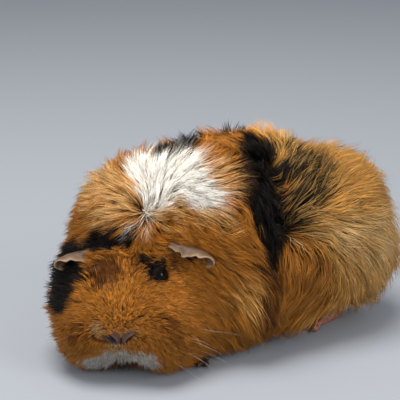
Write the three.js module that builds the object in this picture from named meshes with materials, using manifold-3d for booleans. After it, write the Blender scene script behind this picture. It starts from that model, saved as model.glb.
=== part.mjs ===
// A life-size guinea pig of the rosetted long-coated kind, crouching with its head turned to its left.
// Millimetres, +Z up. The animal faces -Y and its left side is +X. The origin is on the floor, under the
// middle of the animal's box. Every solid of the body reaches out to the tips of the coat.
import * as THREE from "three";
import { mergeVertices } from "three/addons/utils/BufferGeometryUtils.js";
import Module from "manifold-3d";

const wasm = await Module();
wasm.setup();

// ---- Driving dimensions -------------------------------------------------------------------------

const GAP = 0.4; // clear space between neighbouring solids
const TO_MIDDLE = [13.1, -1.5, 0]; // moves the finished animal so that its box stands over the origin
const BELLY_CLEARANCE = 3; // the belly coat hangs this far above the floor
const HEAD_YAW = 42; // degrees the head is turned to the animal's left
const HEAD_AT = [-25, -56]; // the floor point under the middle of the line between the ears

// The spine of the body from the seat of the rump to the middle of the muzzle.
const SPINE = [
  [6, 70, 58],
  [-3, 40, 58],
  [-8, 10, 57],
  [-10, -18, 56],
  [-9, -42, 54],
  [-6, -62, 46],
  [0, -76, 37],
];

// The coat's masses: rounded lumps that flow into one another. at is the centre, size the three
// half-lengths across, along and up, yaw turns a lump to the left and pitch lowers its front end.
const TRUNK_MASSES = [
  { name: "barrel", at: [-12, 14, 57], size: [57, 58, 57] },
  { name: "rump", at: [2, 58, 60], size: [52, 44, 46] },
  { name: "shoulders", at: [-22, -12, 60], size: [56, 46, 60], yaw: 12 },
  { name: "ruff", at: [-43, -35, 62], size: [42, 33, 52], yaw: 36 },
  { name: "haunch_left", at: [25, 40, 48], size: [26, 34, 35], yaw: -12 },
  { name: "haunch_right", at: [-40, 44, 44], size: [28, 38, 38], yaw: 12 },
  { name: "mane", at: [-8, 14, 99], size: [26, 48, 28] },
  { name: "rump_crest", at: [10, 82, 75], size: [34, 32, 31] },
  { name: "seat", at: [22, 85, 40], size: [28, 27, 31] },
  { name: "chest_tuft", at: [2, -26, 28], size: [26, 30, 24] },
  { name: "flank_tuft", at: [12, 10, 28], size: [24, 34, 22] },
];
// The same for the head, with at given as left, forward and up.
const HEAD_MASSES = [
  { name: "crown", at: [0, -18, 64], size: [34, 28, 26] },
  { name: "skull", at: [0, 6, 46], size: [32, 34, 25], pitch: 22 },
  { name: "muzzle", at: [0, 32, 32], size: [22, 21, 19], pitch: 15 },
  { name: "cheek_left", at: [22, 22, 25], size: [20, 27, 24] },
  { name: "cheek_right", at: [-22, 22, 25], size: [20, 27, 24] },
  { name: "jowl_left", at: [32, 0, 36], size: [20, 26, 26] },
  { name: "jowl_right", at: [-30, 0, 38], size: [18, 26, 28] },
];
const BLEND = 16; // how softly one mass runs into the next
const BODY_RINGS = 29; // facets along the body
const BODY_SIDES = 30; // facets round it

// Where one part of the body ends and the next begins: a point of the cut and the way it faces.
const NECK_CUT = { at: [-28, -44, 60], yaw: 24, pitch: 18 };
const SHOULDER_CUT = { at: [-20, -20, 60], yaw: 12, pitch: 0 };
const BARREL_CUT = { at: [-12, 8, 60], yaw: 5, pitch: 0 };
const RUMP_CUT = { at: [-4, 52, 60], yaw: -10, pitch: 0 };
const MUZZLE_FORWARD = 30; // the muzzle begins this far in front of the ears
const MOUTH_HEIGHT = 20; // the chin hangs below this height
const CHIN_FORWARD = 20; // and begins this far in front of the ears

// The legs are parted from the trunk along rounded outlines.
const LEG_PARTS = [
  { name: "foreleg_left", at: [32, -26, 22], size: [26, 20, 30], yaw: 20 },
  { name: "foreleg_right", at: [-66, -42, 24], size: [26, 22, 32], yaw: 20 },
  { name: "haunch_left", at: [52, 48, 36], size: [32, 31, 42], yaw: -10 },
  { name: "haunch_right", at: [-66, 48, 36], size: [32, 33, 42], yaw: 10 },
];

// ---- The coat's surface -------------------------------------------------------------------------

const radians = THREE.MathUtils.degToRad;

// A point or a direction of the head, given as left, forward and up, in the animal's frame.
function headways([left, forward, up]) {
  const turn = radians(HEAD_YAW);
  const x = left * Math.cos(turn) + forward * Math.sin(turn);
  const y = left * Math.sin(turn) - forward * Math.cos(turn);
  return new THREE.Vector3(x, y, up);
}

function onHead(place) {
  return headways(place).add(new THREE.Vector3(...HEAD_AT, 0));
}

// The turn of a thing that faces yaw degrees to the left and pitch degrees down.
function turned(yaw = 0, pitch = 0) {
  return new THREE.Matrix4().makeRotationFromEuler(new THREE.Euler(radians(pitch), 0, radians(yaw), "ZXY"));
}

const MASSES = [
  ...TRUNK_MASSES.map((mass) => ({ ...mass, centre: new THREE.Vector3(...mass.at) })),
  ...HEAD_MASSES.map((mass) => ({ ...mass, centre: onHead(mass.at), yaw: HEAD_YAW })),
];
for (const mass of MASSES) {
  mass.half = new THREE.Vector3(...mass.size);
  mass.unturn = turned(mass.yaw, mass.pitch).invert();
}

// About how far a point is outside one rounded mass.
function outside(mass, point) {
  const local = point.clone().sub(mass.centre).applyMatrix4(mass.unturn).divide(mass.half);
  const reach = local.length();
  const slope = local.divide(mass.half).length();
  return slope > 0 ? (reach * (reach - 1)) / slope : -mass.half.x;
}

function softMinimum(a, b, width) {
  const overlap = Math.max(width - Math.abs(a - b), 0) / width;
  return Math.min(a, b) - (overlap * overlap * width) / 4;
}

// Negative inside the coat, zero on its surface.
function coat(point) {
  const body = MASSES.map((mass) => outside(mass, point)).reduce((a, b) => softMinimum(a, b, BLEND));
  return Math.max(body, BELLY_CLEARANCE - point.z);
}

// The place where the coat ends, going from a point inside it in one direction.
function coatFrom(start, direction) {
  const step = 2;
  const probe = new THREE.Vector3();
  const level = (distance) => coat(probe.copy(start).addScaledVector(direction, distance));
  let outer = step;
  while (level(outer) < 0) outer += step;
  let inner = outer - step;
  for (let i = 0; i < 20; i += 1) {
    const middle = (inner + outer) / 2;
    if (level(middle) < 0) inner = middle;
    else outer = middle;
  }
  return start.clone().addScaledVector(direction, outer);
}

// A capsule laid along the spine, with every vertex moved out to the coat's surface.
function bodyGeometry() {
  const spine = new THREE.CatmullRomCurve3(SPINE.map((p) => new THREE.Vector3(...p)), false, "centripetal");
  const length = 4;
  const capsule = new THREE.CapsuleGeometry(1, length, BODY_SIDES / 6, BODY_SIDES, BODY_RINGS);
  const positions = capsule.getAttribute("position");
  const up = new THREE.Vector3(0, 0, 1);
  for (let i = 0; i < positions.count; i += 1) {
    const vertex = new THREE.Vector3().fromBufferAttribute(positions, i);
    const along = THREE.MathUtils.clamp(vertex.y / length + 0.5, 0, 1);
    const start = spine.getPointAt(along);
    const forward = spine.getTangentAt(along);
    const right = new THREE.Vector3().crossVectors(forward, up).normalize();
    const above = new THREE.Vector3().crossVectors(right, forward);
    const direction = new THREE.Vector3()
      .addScaledVector(right, vertex.x)
      .addScaledVector(forward, vertex.y - (along - 0.5) * length)
      .addScaledVector(above, vertex.z)
      .normalize();
    positions.setXYZ(i, ...coatFrom(start, direction).toArray());
  }
  return capsule;
}

// ---- Solids -------------------------------------------------------------------------------------

function solid(geometry) {
  const bare = geometry.clone();
  bare.deleteAttribute("normal");
  bare.deleteAttribute("uv");
  const merged = mergeVertices(bare, 1e-3);
  return new wasm.Manifold(
    new wasm.Mesh({
      numProp: 3,
      vertProperties: new Float32Array(merged.getAttribute("position").array),
      triVerts: new Uint32Array(merged.index.array),
    }),
  );
}

function geometryOf(made) {
  const mesh = made.getMesh();
  const geometry = new THREE.BufferGeometry();
  geometry.setAttribute("position", new THREE.BufferAttribute(mesh.vertProperties, 3));
  geometry.setIndex(new THREE.BufferAttribute(mesh.triVerts, 1));
  geometry.computeVertexNormals();
  return geometry;
}

// All the space on one side of a cut, half a gap away from it: 1 in front of it, -1 behind it.
function sideOf(cut, side) {
  const reach = 400;
  const box = new THREE.BoxGeometry(reach, reach, reach);
  box.translate(0, (-side * (reach + GAP)) / 2, 0);
  box.applyMatrix4(turned(cut.yaw, cut.pitch));
  box.translate(...cut.at);
  return solid(box);
}

// A rounded lump of three half-lengths, grown by a margin.
function lump(size, margin, sides = 12) {
  const sphere = new THREE.SphereGeometry(1, sides, Math.round(sides * 0.6));
  sphere.rotateX(Math.PI / 2);
  sphere.scale(size[0] + margin, size[1] + margin, size[2] + margin);
  return sphere;
}

function legRegion(part, margin) {
  const shape = lump(part.size, margin);
  shape.applyMatrix4(turned(part.yaw));
  shape.translate(...part.at);
  return solid(shape);
}

// ---- Eyes ---------------------------------------------------------------------------------------

const EYE_RADIUS = 5.6;
const EYE_BULGE = 2.2; // the ball stands this far out of the coat round it
const EYE_LOOKS = [0.73, 0.59, 0.34]; // left, forward and up from the middle of the skull
const EYE_FROM = [0, 10, 50]; // the middle of the skull, as left, forward and up

function eyeGeometry(side, margin) {
  const [left, forward, up] = EYE_LOOKS;
  const direction = headways([side * left, forward, up]).normalize();
  const surface = coatFrom(onHead(EYE_FROM), direction);
  const centre = surface.addScaledVector(direction, EYE_BULGE - EYE_RADIUS);
  const ball = new THREE.SphereGeometry(EYE_RADIUS + margin, 12, 7);
  ball.translate(...centre.toArray());
  return ball;
}

// ---- Ears ---------------------------------------------------------------------------------------

// Each ear is a cupped petal that droops out over the cheek.
const EAR = {
  length: 30,
  halfWidth: 10.5, // at its widest
  rootShare: 0.55, // the root's width as a share of that
  widest: 0.5, // how far along the ear it is widest
  taper: 0.9, // the share of a half wave that its outline follows
  thickness: 1.1, // half of the blade's thickness
  cup: 3.6, // the rims stand this far forward of the middle
  droop: 3.5, // the tip hangs this far below a straight blade
  from: [0, -4, 50], // left, forward and up, inside the skull
  looks: [0.62, 0.43, 0.65], // the way from there to the root
  sunk: 4, // the root sits this far under the coat's surface
  along: [0.84, 0.52, -0.14],
  faces: [-0.35, 0.8, 0.4],
};

function earGeometry(side, margin) {
  const petal = new THREE.SphereGeometry(1, 14, 9);
  const positions = petal.getAttribute("position");
  const mirror = ([left, forward, up]) => [side * left, forward, up];
  const outward = headways(mirror(EAR.looks)).normalize();
  const root = coatFrom(onHead(mirror(EAR.from)), outward).addScaledVector(outward, -EAR.sunk);
  const along = headways(mirror(EAR.along)).normalize();
  const across = along.clone().cross(headways(mirror(EAR.faces))).normalize();
  const faces = across.clone().cross(along);
  const down = new THREE.Vector3(0, 0, -1);
  for (let i = 0; i < positions.count; i += 1) {
    const [x, y, z] = [positions.getX(i), positions.getY(i), positions.getZ(i)];
    const station = (y + 1) / 2;
    const swell = Math.cos(Math.PI * EAR.taper * (station - EAR.widest));
    const width = EAR.halfWidth * (EAR.rootShare + (1 - EAR.rootShare) * swell) + margin;
    const rim = EAR.cup * x * x;
    const point = root.clone();
    point.addScaledVector(along, EAR.length * station + margin * y);
    point.addScaledVector(across, width * x);
    point.addScaledVector(faces, rim + (EAR.thickness + margin) * z);
    point.addScaledVector(down, EAR.droop * station * station);
    positions.setXYZ(i, ...point.toArray());
  }
  return petal;
}

// ---- Nose ---------------------------------------------------------------------------------------

const NOSE_SIZE = [8, 4.5, 5.5]; // half-lengths across, along and up
const NOSTRIL_SIZE = [2.4, 3, 1.1];
const NOSTRIL_ASIDE = 4.2;
const NOSTRIL_UP = 0.6;
const NOSTRIL_DEEP = 0.8; // its middle lies this far behind the front of the pad
const NOSTRIL_SLANT = 35; // degrees its outer end is raised
const NOSE_BEHIND = [0, 30, 34]; // left, forward and up: straight behind the nose
const NOSE_SUNK = 2; // the middle of the pad lies this far under the coat's surface

function onNose(shape, aside, forward, up) {
  const surface = coatFrom(onHead(NOSE_BEHIND), headways([0, 1, 0]));
  surface.add(headways([aside, forward - NOSE_SUNK, up]));
  shape.applyMatrix4(turned(HEAD_YAW));
  shape.translate(...surface.toArray());
  return solid(shape);
}

function noseSolid(margin) {
  return onNose(lump(NOSE_SIZE, margin, 12), 0, 0, 0);
}

function nostril(side) {
  const slit = lump(NOSTRIL_SIZE, 0, 8);
  slit.rotateY(side * radians(-NOSTRIL_SLANT));
  return onNose(slit, side * NOSTRIL_ASIDE, NOSE_SIZE[1] - NOSTRIL_DEEP, NOSTRIL_UP);
}

// ---- Feet ---------------------------------------------------------------------------------------

const FORE_FOOT = { sole: [6.5, 9, 6], toeRadius: 2, toeLength: 7, fan: [-30, -10, 10, 30], start: 4 };
const HIND_FOOT = { sole: [7, 18, 7], toeRadius: 2.4, toeLength: 9, fan: [-16, 0, 16], start: 12 };
const FEET = [
  { name: "forefoot_left", kind: FORE_FOOT, at: [10, -34], yaw: 30 },
  { name: "forefoot_right", kind: FORE_FOOT, at: [-42, -50], yaw: 20 },
  { name: "hindfoot_left", kind: HIND_FOOT, at: [19, 66], yaw: 8 },
  { name: "hindfoot_right", kind: HIND_FOOT, at: [-34, 64], yaw: -6 },
];
const SOLE_RISE = 0.55; // the middle of a sole is this share of its half-height above the floor
const TOE_RISE = 0.9; // the same for a toe, as a share of its radius
const CLAW_RISE = 0.95;
const CLAW_RADIUS = 1.2;
const CLAW_LENGTH = 7;
const CLAW_HIDDEN = 3.2; // this much of a claw sits in the toe
const CLAW_DIP = 8; // degrees a claw points down

// Turns a shape that lies along -Y into a foot's toe: fanned out from the foot's middle line.
function fanned(shape, foot, angle) {
  shape.translate(0, -foot.kind.start, 0);
  shape.rotateZ(radians(angle));
  return shape;
}

function onFoot(shape, foot) {
  shape.rotateZ(radians(foot.yaw));
  shape.translate(foot.at[0], foot.at[1], 0);
  return solid(shape);
}

function toe(foot, angle, margin) {
  const { toeRadius, toeLength } = foot.kind;
  const shape = new THREE.CapsuleGeometry(toeRadius + margin, toeLength, 1, 6);
  shape.translate(0, -toeLength / 2, toeRadius * TOE_RISE);
  return onFoot(fanned(shape, foot, angle), foot);
}

function claw(foot, angle, margin) {
  const { toeRadius, toeLength } = foot.kind;
  const shape = new THREE.ConeGeometry(CLAW_RADIUS + margin, CLAW_LENGTH + margin, 6);
  shape.rotateX(Math.PI);
  shape.rotateX(radians(CLAW_DIP));
  const tip = toeLength + toeRadius + CLAW_LENGTH / 2 - CLAW_HIDDEN;
  shape.translate(0, -tip, toeRadius * CLAW_RISE);
  return onFoot(fanned(shape, foot, angle), foot);
}

// Everything above the floor.
function aboveFloor() {
  const reach = 400;
  const box = new THREE.BoxGeometry(reach, reach, reach);
  box.translate(0, 0, reach / 2);
  return solid(box);
}

function footSolid(foot, margin) {
  const sole = onFoot(lump(foot.kind.sole, margin, 10).translate(0, 0, foot.kind.sole[2] * SOLE_RISE), foot);
  return foot.kind.fan.reduce((made, angle) => made.add(toe(foot, angle, margin)), sole);
}

// ---- Materials ----------------------------------------------------------------------------------

function material(color, roughness) {
  return new THREE.MeshStandardMaterial({ color, roughness, metalness: 0 });
}

const WHITE_COAT = material(0xe7dece, 0.85);
const GINGER_COAT = material(0x9f6a29, 0.85);
const FACE_COAT = material(0x885520, 0.85);
const BLACK_COAT = material(0x1c191a, 0.8);
const CHIN_COAT = material(0xa39a8f, 0.85);
const EAR_SKIN = material(0x8a5a44, 0.6);
const NOSE_SKIN = material(0x6e4a3c, 0.5);
const DARK_SKIN = material(0x3a2624, 0.6);
const PINK_SKIN = material(0x9c6455, 0.6);
const EYE_GLOSS = material(0x0c0908, 0.05);
const CLAW_HORN = material(0x6b5346, 0.4);

// ---- The animal ---------------------------------------------------------------------------------

const animal = new THREE.Group();

function place(name, made, surface) {
  const mesh = new THREE.Mesh(geometryOf(made).translate(...TO_MIDDLE), surface.clone());
  mesh.name = name;
  animal.add(mesh);
}

// The space taken out of the coat by everything that stands in it.
function settings() {
  const cuts = [solid(eyeGeometry(1, GAP)), solid(eyeGeometry(-1, GAP))];
  cuts.push(solid(earGeometry(1, GAP)), solid(earGeometry(-1, GAP)), noseSolid(GAP));
  for (const foot of FEET) cuts.push(footSolid(foot, GAP));
  return cuts.reduce((all, cut) => all.add(cut));
}

function placeBody() {
  let rest = solid(bodyGeometry()).subtract(settings());
  for (const part of LEG_PARTS) {
    place(part.name, rest.intersect(legRegion(part, 0)), GINGER_COAT);
    rest = rest.subtract(legRegion(part, GAP));
  }
  const head = rest.intersect(sideOf(NECK_CUT, 1));
  const muzzleCut = { at: onHead([0, MUZZLE_FORWARD, 0]).toArray(), yaw: HEAD_YAW };
  const chinCut = { at: onHead([0, CHIN_FORWARD, 0]).toArray(), yaw: HEAD_YAW };
  const mouthCut = { at: [0, 0, MOUTH_HEIGHT], yaw: 0, pitch: 90 };
  const chin = head.intersect(sideOf(mouthCut, 1)).intersect(sideOf(chinCut, 1));
  const upper = head.intersect(sideOf(mouthCut, -1));
  const throat = head.intersect(sideOf(mouthCut, 1)).intersect(sideOf(chinCut, -1));
  place("chin", chin, CHIN_COAT);
  place("throat", throat, FACE_COAT);
  place("muzzle", upper.intersect(sideOf(muzzleCut, 1)), FACE_COAT);
  place("head", upper.intersect(sideOf(muzzleCut, -1)), FACE_COAT);
  const behindHead = rest.intersect(sideOf(NECK_CUT, -1));
  place("neck", behindHead.intersect(sideOf(SHOULDER_CUT, 1)), WHITE_COAT);
  const behindNeck = behindHead.intersect(sideOf(SHOULDER_CUT, -1));
  place("shoulders", behindNeck.intersect(sideOf(BARREL_CUT, 1)), GINGER_COAT);
  const behindShoulders = behindNeck.intersect(sideOf(BARREL_CUT, -1));
  place("barrel", behindShoulders.intersect(sideOf(RUMP_CUT, 1)), BLACK_COAT);
  place("rump", behindShoulders.intersect(sideOf(RUMP_CUT, -1)), GINGER_COAT);
}

function placeFace() {
  place("eye_left", solid(eyeGeometry(1, 0)), EYE_GLOSS);
  place("eye_right", solid(eyeGeometry(-1, 0)), EYE_GLOSS);
  place("ear_left", solid(earGeometry(1, 0)), EAR_SKIN);
  place("ear_right", solid(earGeometry(-1, 0)), EAR_SKIN);
  place("nose", noseSolid(0).subtract(nostril(1)).subtract(nostril(-1)), NOSE_SKIN);
}

function placeFoot(foot) {
  const skin = foot.kind === FORE_FOOT ? DARK_SKIN : PINK_SKIN;
  let made = footSolid(foot, 0).intersect(aboveFloor());
  foot.kind.fan.forEach((angle, index) => {
    made = made.subtract(claw(foot, angle, GAP));
    place(`claw_${foot.name}_${index + 1}`, claw(foot, angle, 0), CLAW_HORN);
  });
  place(foot.name, made, skin);
}

placeBody();
placeFace();
FEET.forEach(placeFoot);

export default animal;
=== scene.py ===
"""A life-size guinea pig with a coat of whorls, crouching, its head turned to its left.

Millimetres in the tables, metres in the meshes. +Z up, the animal faces -Y, its left side is +X.
"""
import math

import bpy
import bmesh
import numpy as np
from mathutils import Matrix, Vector
from mathutils.kdtree import KDTree


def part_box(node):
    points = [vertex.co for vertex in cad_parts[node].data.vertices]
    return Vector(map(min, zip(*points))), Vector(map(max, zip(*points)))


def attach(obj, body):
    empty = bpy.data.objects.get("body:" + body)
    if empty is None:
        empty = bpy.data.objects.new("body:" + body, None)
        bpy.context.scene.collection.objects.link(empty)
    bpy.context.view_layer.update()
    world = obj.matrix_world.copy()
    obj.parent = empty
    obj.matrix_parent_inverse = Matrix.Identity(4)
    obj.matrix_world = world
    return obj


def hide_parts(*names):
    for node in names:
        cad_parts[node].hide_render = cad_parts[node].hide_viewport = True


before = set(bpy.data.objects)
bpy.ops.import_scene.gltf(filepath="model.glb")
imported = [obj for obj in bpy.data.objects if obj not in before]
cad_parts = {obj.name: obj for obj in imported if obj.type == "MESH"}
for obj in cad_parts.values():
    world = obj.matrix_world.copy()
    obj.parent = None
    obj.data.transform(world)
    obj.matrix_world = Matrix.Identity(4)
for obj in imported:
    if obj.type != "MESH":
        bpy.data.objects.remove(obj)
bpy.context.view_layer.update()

# ---- Floor, light and camera -----------------------------------------------------------------------
# A plain pale studio floor that runs out to the horizon, three soft lamps and an even sky. The camera
# looks down a little on the animal's face from its left.

MM = 0.001


def linear(hex_colour):
    """An sRGB hex value as linear red, green and blue."""
    channels = [int(hex_colour[i : i + 2], 16) / 255 for i in (1, 3, 5)]
    return [c / 12.92 if c <= 0.04045 else ((c + 0.055) / 1.055) ** 2.4 for c in channels]


def add_node(tree, kind, links=None, **settings):
    """Adds a node; settings are its properties or its sockets' values, links its sockets' sources."""
    node = tree.nodes.new(kind)
    for name, value in settings.items():
        if hasattr(node, name):
            setattr(node, name, value)
        else:
            node.inputs[name.replace("_", " ")].default_value = value
    for name, source in (links or {}).items():
        tree.links.new(source, node.inputs[name])
    return node


def new_material(name):
    """A node material with its surface shader still to come."""
    material = bpy.data.materials.new(name)
    material.use_nodes = True
    material.node_tree.nodes.clear()
    return material, material.node_tree


def finish_material(tree, shader, displacement=None):
    add_node(tree, "ShaderNodeOutputMaterial", {"Surface": shader.outputs[0]})


def build_mesh(name, points_mm, faces):
    """A smooth object from points in millimetres and faces, as rows of point numbers."""
    mesh = bpy.data.meshes.new(name)
    totals = np.array([len(face) for face in faces], np.int32)
    corners = np.concatenate([np.asarray(face, np.int32) for face in faces]) if len(set(totals)) > 1 else (
        np.asarray(faces, np.int32).ravel())
    mesh.vertices.add(len(points_mm))
    mesh.vertices.foreach_set("co", (np.asarray(points_mm, np.float32) * MM).ravel())
    mesh.loops.add(len(corners))
    mesh.loops.foreach_set("vertex_index", corners)
    mesh.polygons.add(len(totals))
    mesh.polygons.foreach_set("loop_start", np.concatenate([[0], np.cumsum(totals)[:-1]]).astype(np.int32))
    mesh.polygons.foreach_set("use_smooth", np.ones(len(totals), bool))
    mesh.update(calc_edges=True)
    obj = bpy.data.objects.new(name, mesh)
    bpy.context.collection.objects.link(obj)
    return obj


floor_size = 6000
floor = build_mesh(
    "floor",
    [(-floor_size, -floor_size, 0), (floor_size, -floor_size, 0), (floor_size, floor_size, 0),
     (-floor_size, floor_size, 0)],
    [(0, 1, 2, 3)],
)
# Matt painted board: pale grey with a faint blue.
floor_paint, tree = new_material("matt_pale_board")
shader = add_node(tree, "ShaderNodeBsdfPrincipled", Base_Color=(*linear("#959CA8"), 1), Roughness=0.9)
finish_material(tree, shader)
floor.data.materials.append(floor_paint)

world = bpy.data.worlds.new("studio_sky")
bpy.context.scene.world = world
world.use_nodes = True
sky = world.node_tree.nodes["Background"]
sky.inputs["Color"].default_value = (*linear("#D3D5D8"), 1)
sky.inputs["Strength"].default_value = 0.6
bpy.context.scene.view_settings.view_transform = "Standard"


def soft_lamp(name, position, size, watts, colour):
    lamp = bpy.data.lights.new(name, "AREA")
    lamp.shape = "DISK"
    lamp.size = size
    lamp.energy = watts
    lamp.color = linear(colour)
    holder = bpy.data.objects.new(name, lamp)
    holder.location = position
    holder.rotation_euler = (Vector((0, 0, 0.05)) - Vector(position)).to_track_quat("-Z", "Y").to_euler()
    bpy.context.collection.objects.link(holder)


soft_lamp("ceiling_lamp", (-0.1, -0.3, 1.5), 1.0, 28, "#FFF8EC")
soft_lamp("front_lamp", (0.5, -1.4, 0.7), 0.9, 9, "#FFFAF2")
soft_lamp("side_lamp", (1.5, 0.3, 0.8), 0.9, 12, "#FFF8F0")

camera_azimuth = math.radians(46)
camera_elevation = math.radians(20)
camera_distance = 0.75
camera_target = Vector((0.0131, -0.0015, 0.05))
lens_pixels = 1237
frame_pixels = 400
target_pixel = (232, 262)

camera_data = bpy.data.cameras.new("camera")
camera_data.sensor_width = 36
camera_data.lens = 36 * lens_pixels / frame_pixels
camera_data.clip_start = 0.01
camera = bpy.data.objects.new("camera", camera_data)
bpy.context.collection.objects.link(camera)
toward_camera = Vector((
    math.sin(camera_azimuth) * math.cos(camera_elevation),
    -math.cos(camera_azimuth) * math.cos(camera_elevation),
    math.sin(camera_elevation),
))
camera.location = camera_target + toward_camera * camera_distance
# The lens is aimed level, without roll, so that the target lands on its pixel.
aim = -toward_camera
yaw, pitch = math.atan2(aim.y, aim.x), math.asin(aim.z)
for _ in range(40):
    ahead = Vector((math.cos(pitch) * math.cos(yaw), math.cos(pitch) * math.sin(yaw), math.sin(pitch)))
    across = ahead.cross(Vector((0, 0, 1))).normalized()
    above = across.cross(ahead)
    to_target = camera_target - camera.location
    depth = to_target.dot(ahead)
    pixel_x = frame_pixels / 2 + lens_pixels * to_target.dot(across) / depth
    pixel_y = frame_pixels / 2 - lens_pixels * to_target.dot(above) / depth
    yaw += (target_pixel[0] - pixel_x) / lens_pixels
    pitch += (target_pixel[1] - pixel_y) / lens_pixels
camera.rotation_euler = ahead.to_track_quat("-Z", "Y").to_euler()
bpy.context.scene.camera = camera

# ---- Skin ------------------------------------------------------------------------------------------
# One skin over the whole animal, under the coat by the coat's own depth. It is wrapped round the spine,
# ring after ring from the rump to the nose, and carries the markings that the coat carries.

TO_MIDDLE = np.array([13.1, -1.5, 0])
HEAD_YAW = math.radians(42)
HEAD_AT = np.array([-25.0, -56.0, 0.0]) + TO_MIDDLE
BLEND = 16
TRUNK_MASSES = [  # centre, half-lengths across, along and up, turn to the left
    ([-12, 14, 57], [57, 58, 57], 0),
    ([2, 58, 60], [52, 44, 46], 0),
    ([-22, -12, 60], [56, 46, 60], 12),
    ([-43, -35, 62], [42, 33, 52], 36),
    ([25, 40, 48], [26, 34, 35], -12),
    ([-40, 44, 44], [28, 38, 38], 12),
    ([-8, 14, 99], [26, 48, 28], 0),
    ([10, 82, 75], [34, 32, 31], 0),
    ([22, 85, 40], [28, 27, 31], 0),
    ([2, -26, 28], [26, 30, 24], 0),
    ([12, 10, 28], [24, 34, 22], 0),
]
HEAD_MASSES = [  # left, forward and up; half-lengths; how far the front is lowered
    ([0, -18, 64], [34, 28, 26], 0),
    ([0, 6, 46], [32, 34, 25], 22),
    ([0, 32, 32], [22, 21, 19], 15),
    ([22, 22, 25], [20, 27, 24], 0),
    ([-22, 22, 25], [20, 27, 24], 0),
    ([32, 0, 36], [20, 26, 26], 0),
    ([-30, 0, 38], [18, 26, 28], 0),
]


def turn_matrix(yaw, pitch):
    """The turn of a thing that faces yaw to the left and pitch down, both in radians."""
    cy, sy, cp, sp = math.cos(yaw), math.sin(yaw), math.cos(pitch), math.sin(pitch)
    about_z = np.array([[cy, -sy, 0], [sy, cy, 0], [0, 0, 1]])
    about_x = np.array([[1, 0, 0], [0, cp, -sp], [0, sp, cp]])
    return about_z @ about_x


head_turn = turn_matrix(HEAD_YAW, 0) @ np.diag([1.0, -1.0, 1.0])


def on_head(places):
    """Points given as left, forward and up of the head, in the animal's frame."""
    return np.asarray(places, float) @ head_turn.T + HEAD_AT


def unit(vectors):
    return vectors / np.maximum(np.linalg.norm(vectors, axis=-1, keepdims=True), 1e-9)


def head_way(direction):
    return unit(np.asarray(direction, float) @ head_turn.T)


masses = [(np.array(at) + TO_MIDDLE, np.array(size, float), turn_matrix(math.radians(yaw), 0))
          for at, size, yaw in TRUNK_MASSES]
masses += [(on_head(at), np.array(size, float), turn_matrix(HEAD_YAW, math.radians(dip)))
           for at, size, dip in HEAD_MASSES]


def soft_min(a, b, width):
    overlap = np.maximum(width - np.abs(a - b), 0) / width
    return np.minimum(a, b) - overlap * overlap * width / 4


def coat_level(points):
    """How far points are outside the tips of the coat, below nought inside it."""
    total = None
    for centre, half, turn in masses:
        local = ((points - centre) @ turn) / half
        reach = np.linalg.norm(local, axis=1)
        slope = np.maximum(np.linalg.norm(local / half, axis=1), 1e-6)
        level = reach * (reach - 1) / slope
        total = level if total is None else soft_min(total, level, BLEND)
    return total


def smoothstep(low, high, value):
    t = np.clip((value - low) / (high - low), 0, 1)
    return t * t * (3 - 2 * t)


nose_box = [np.array(corner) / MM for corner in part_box("nose")]
nose_middle = (nose_box[0] + nose_box[1]) / 2 + head_turn @ [-5.4, 0, -2.4]

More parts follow.
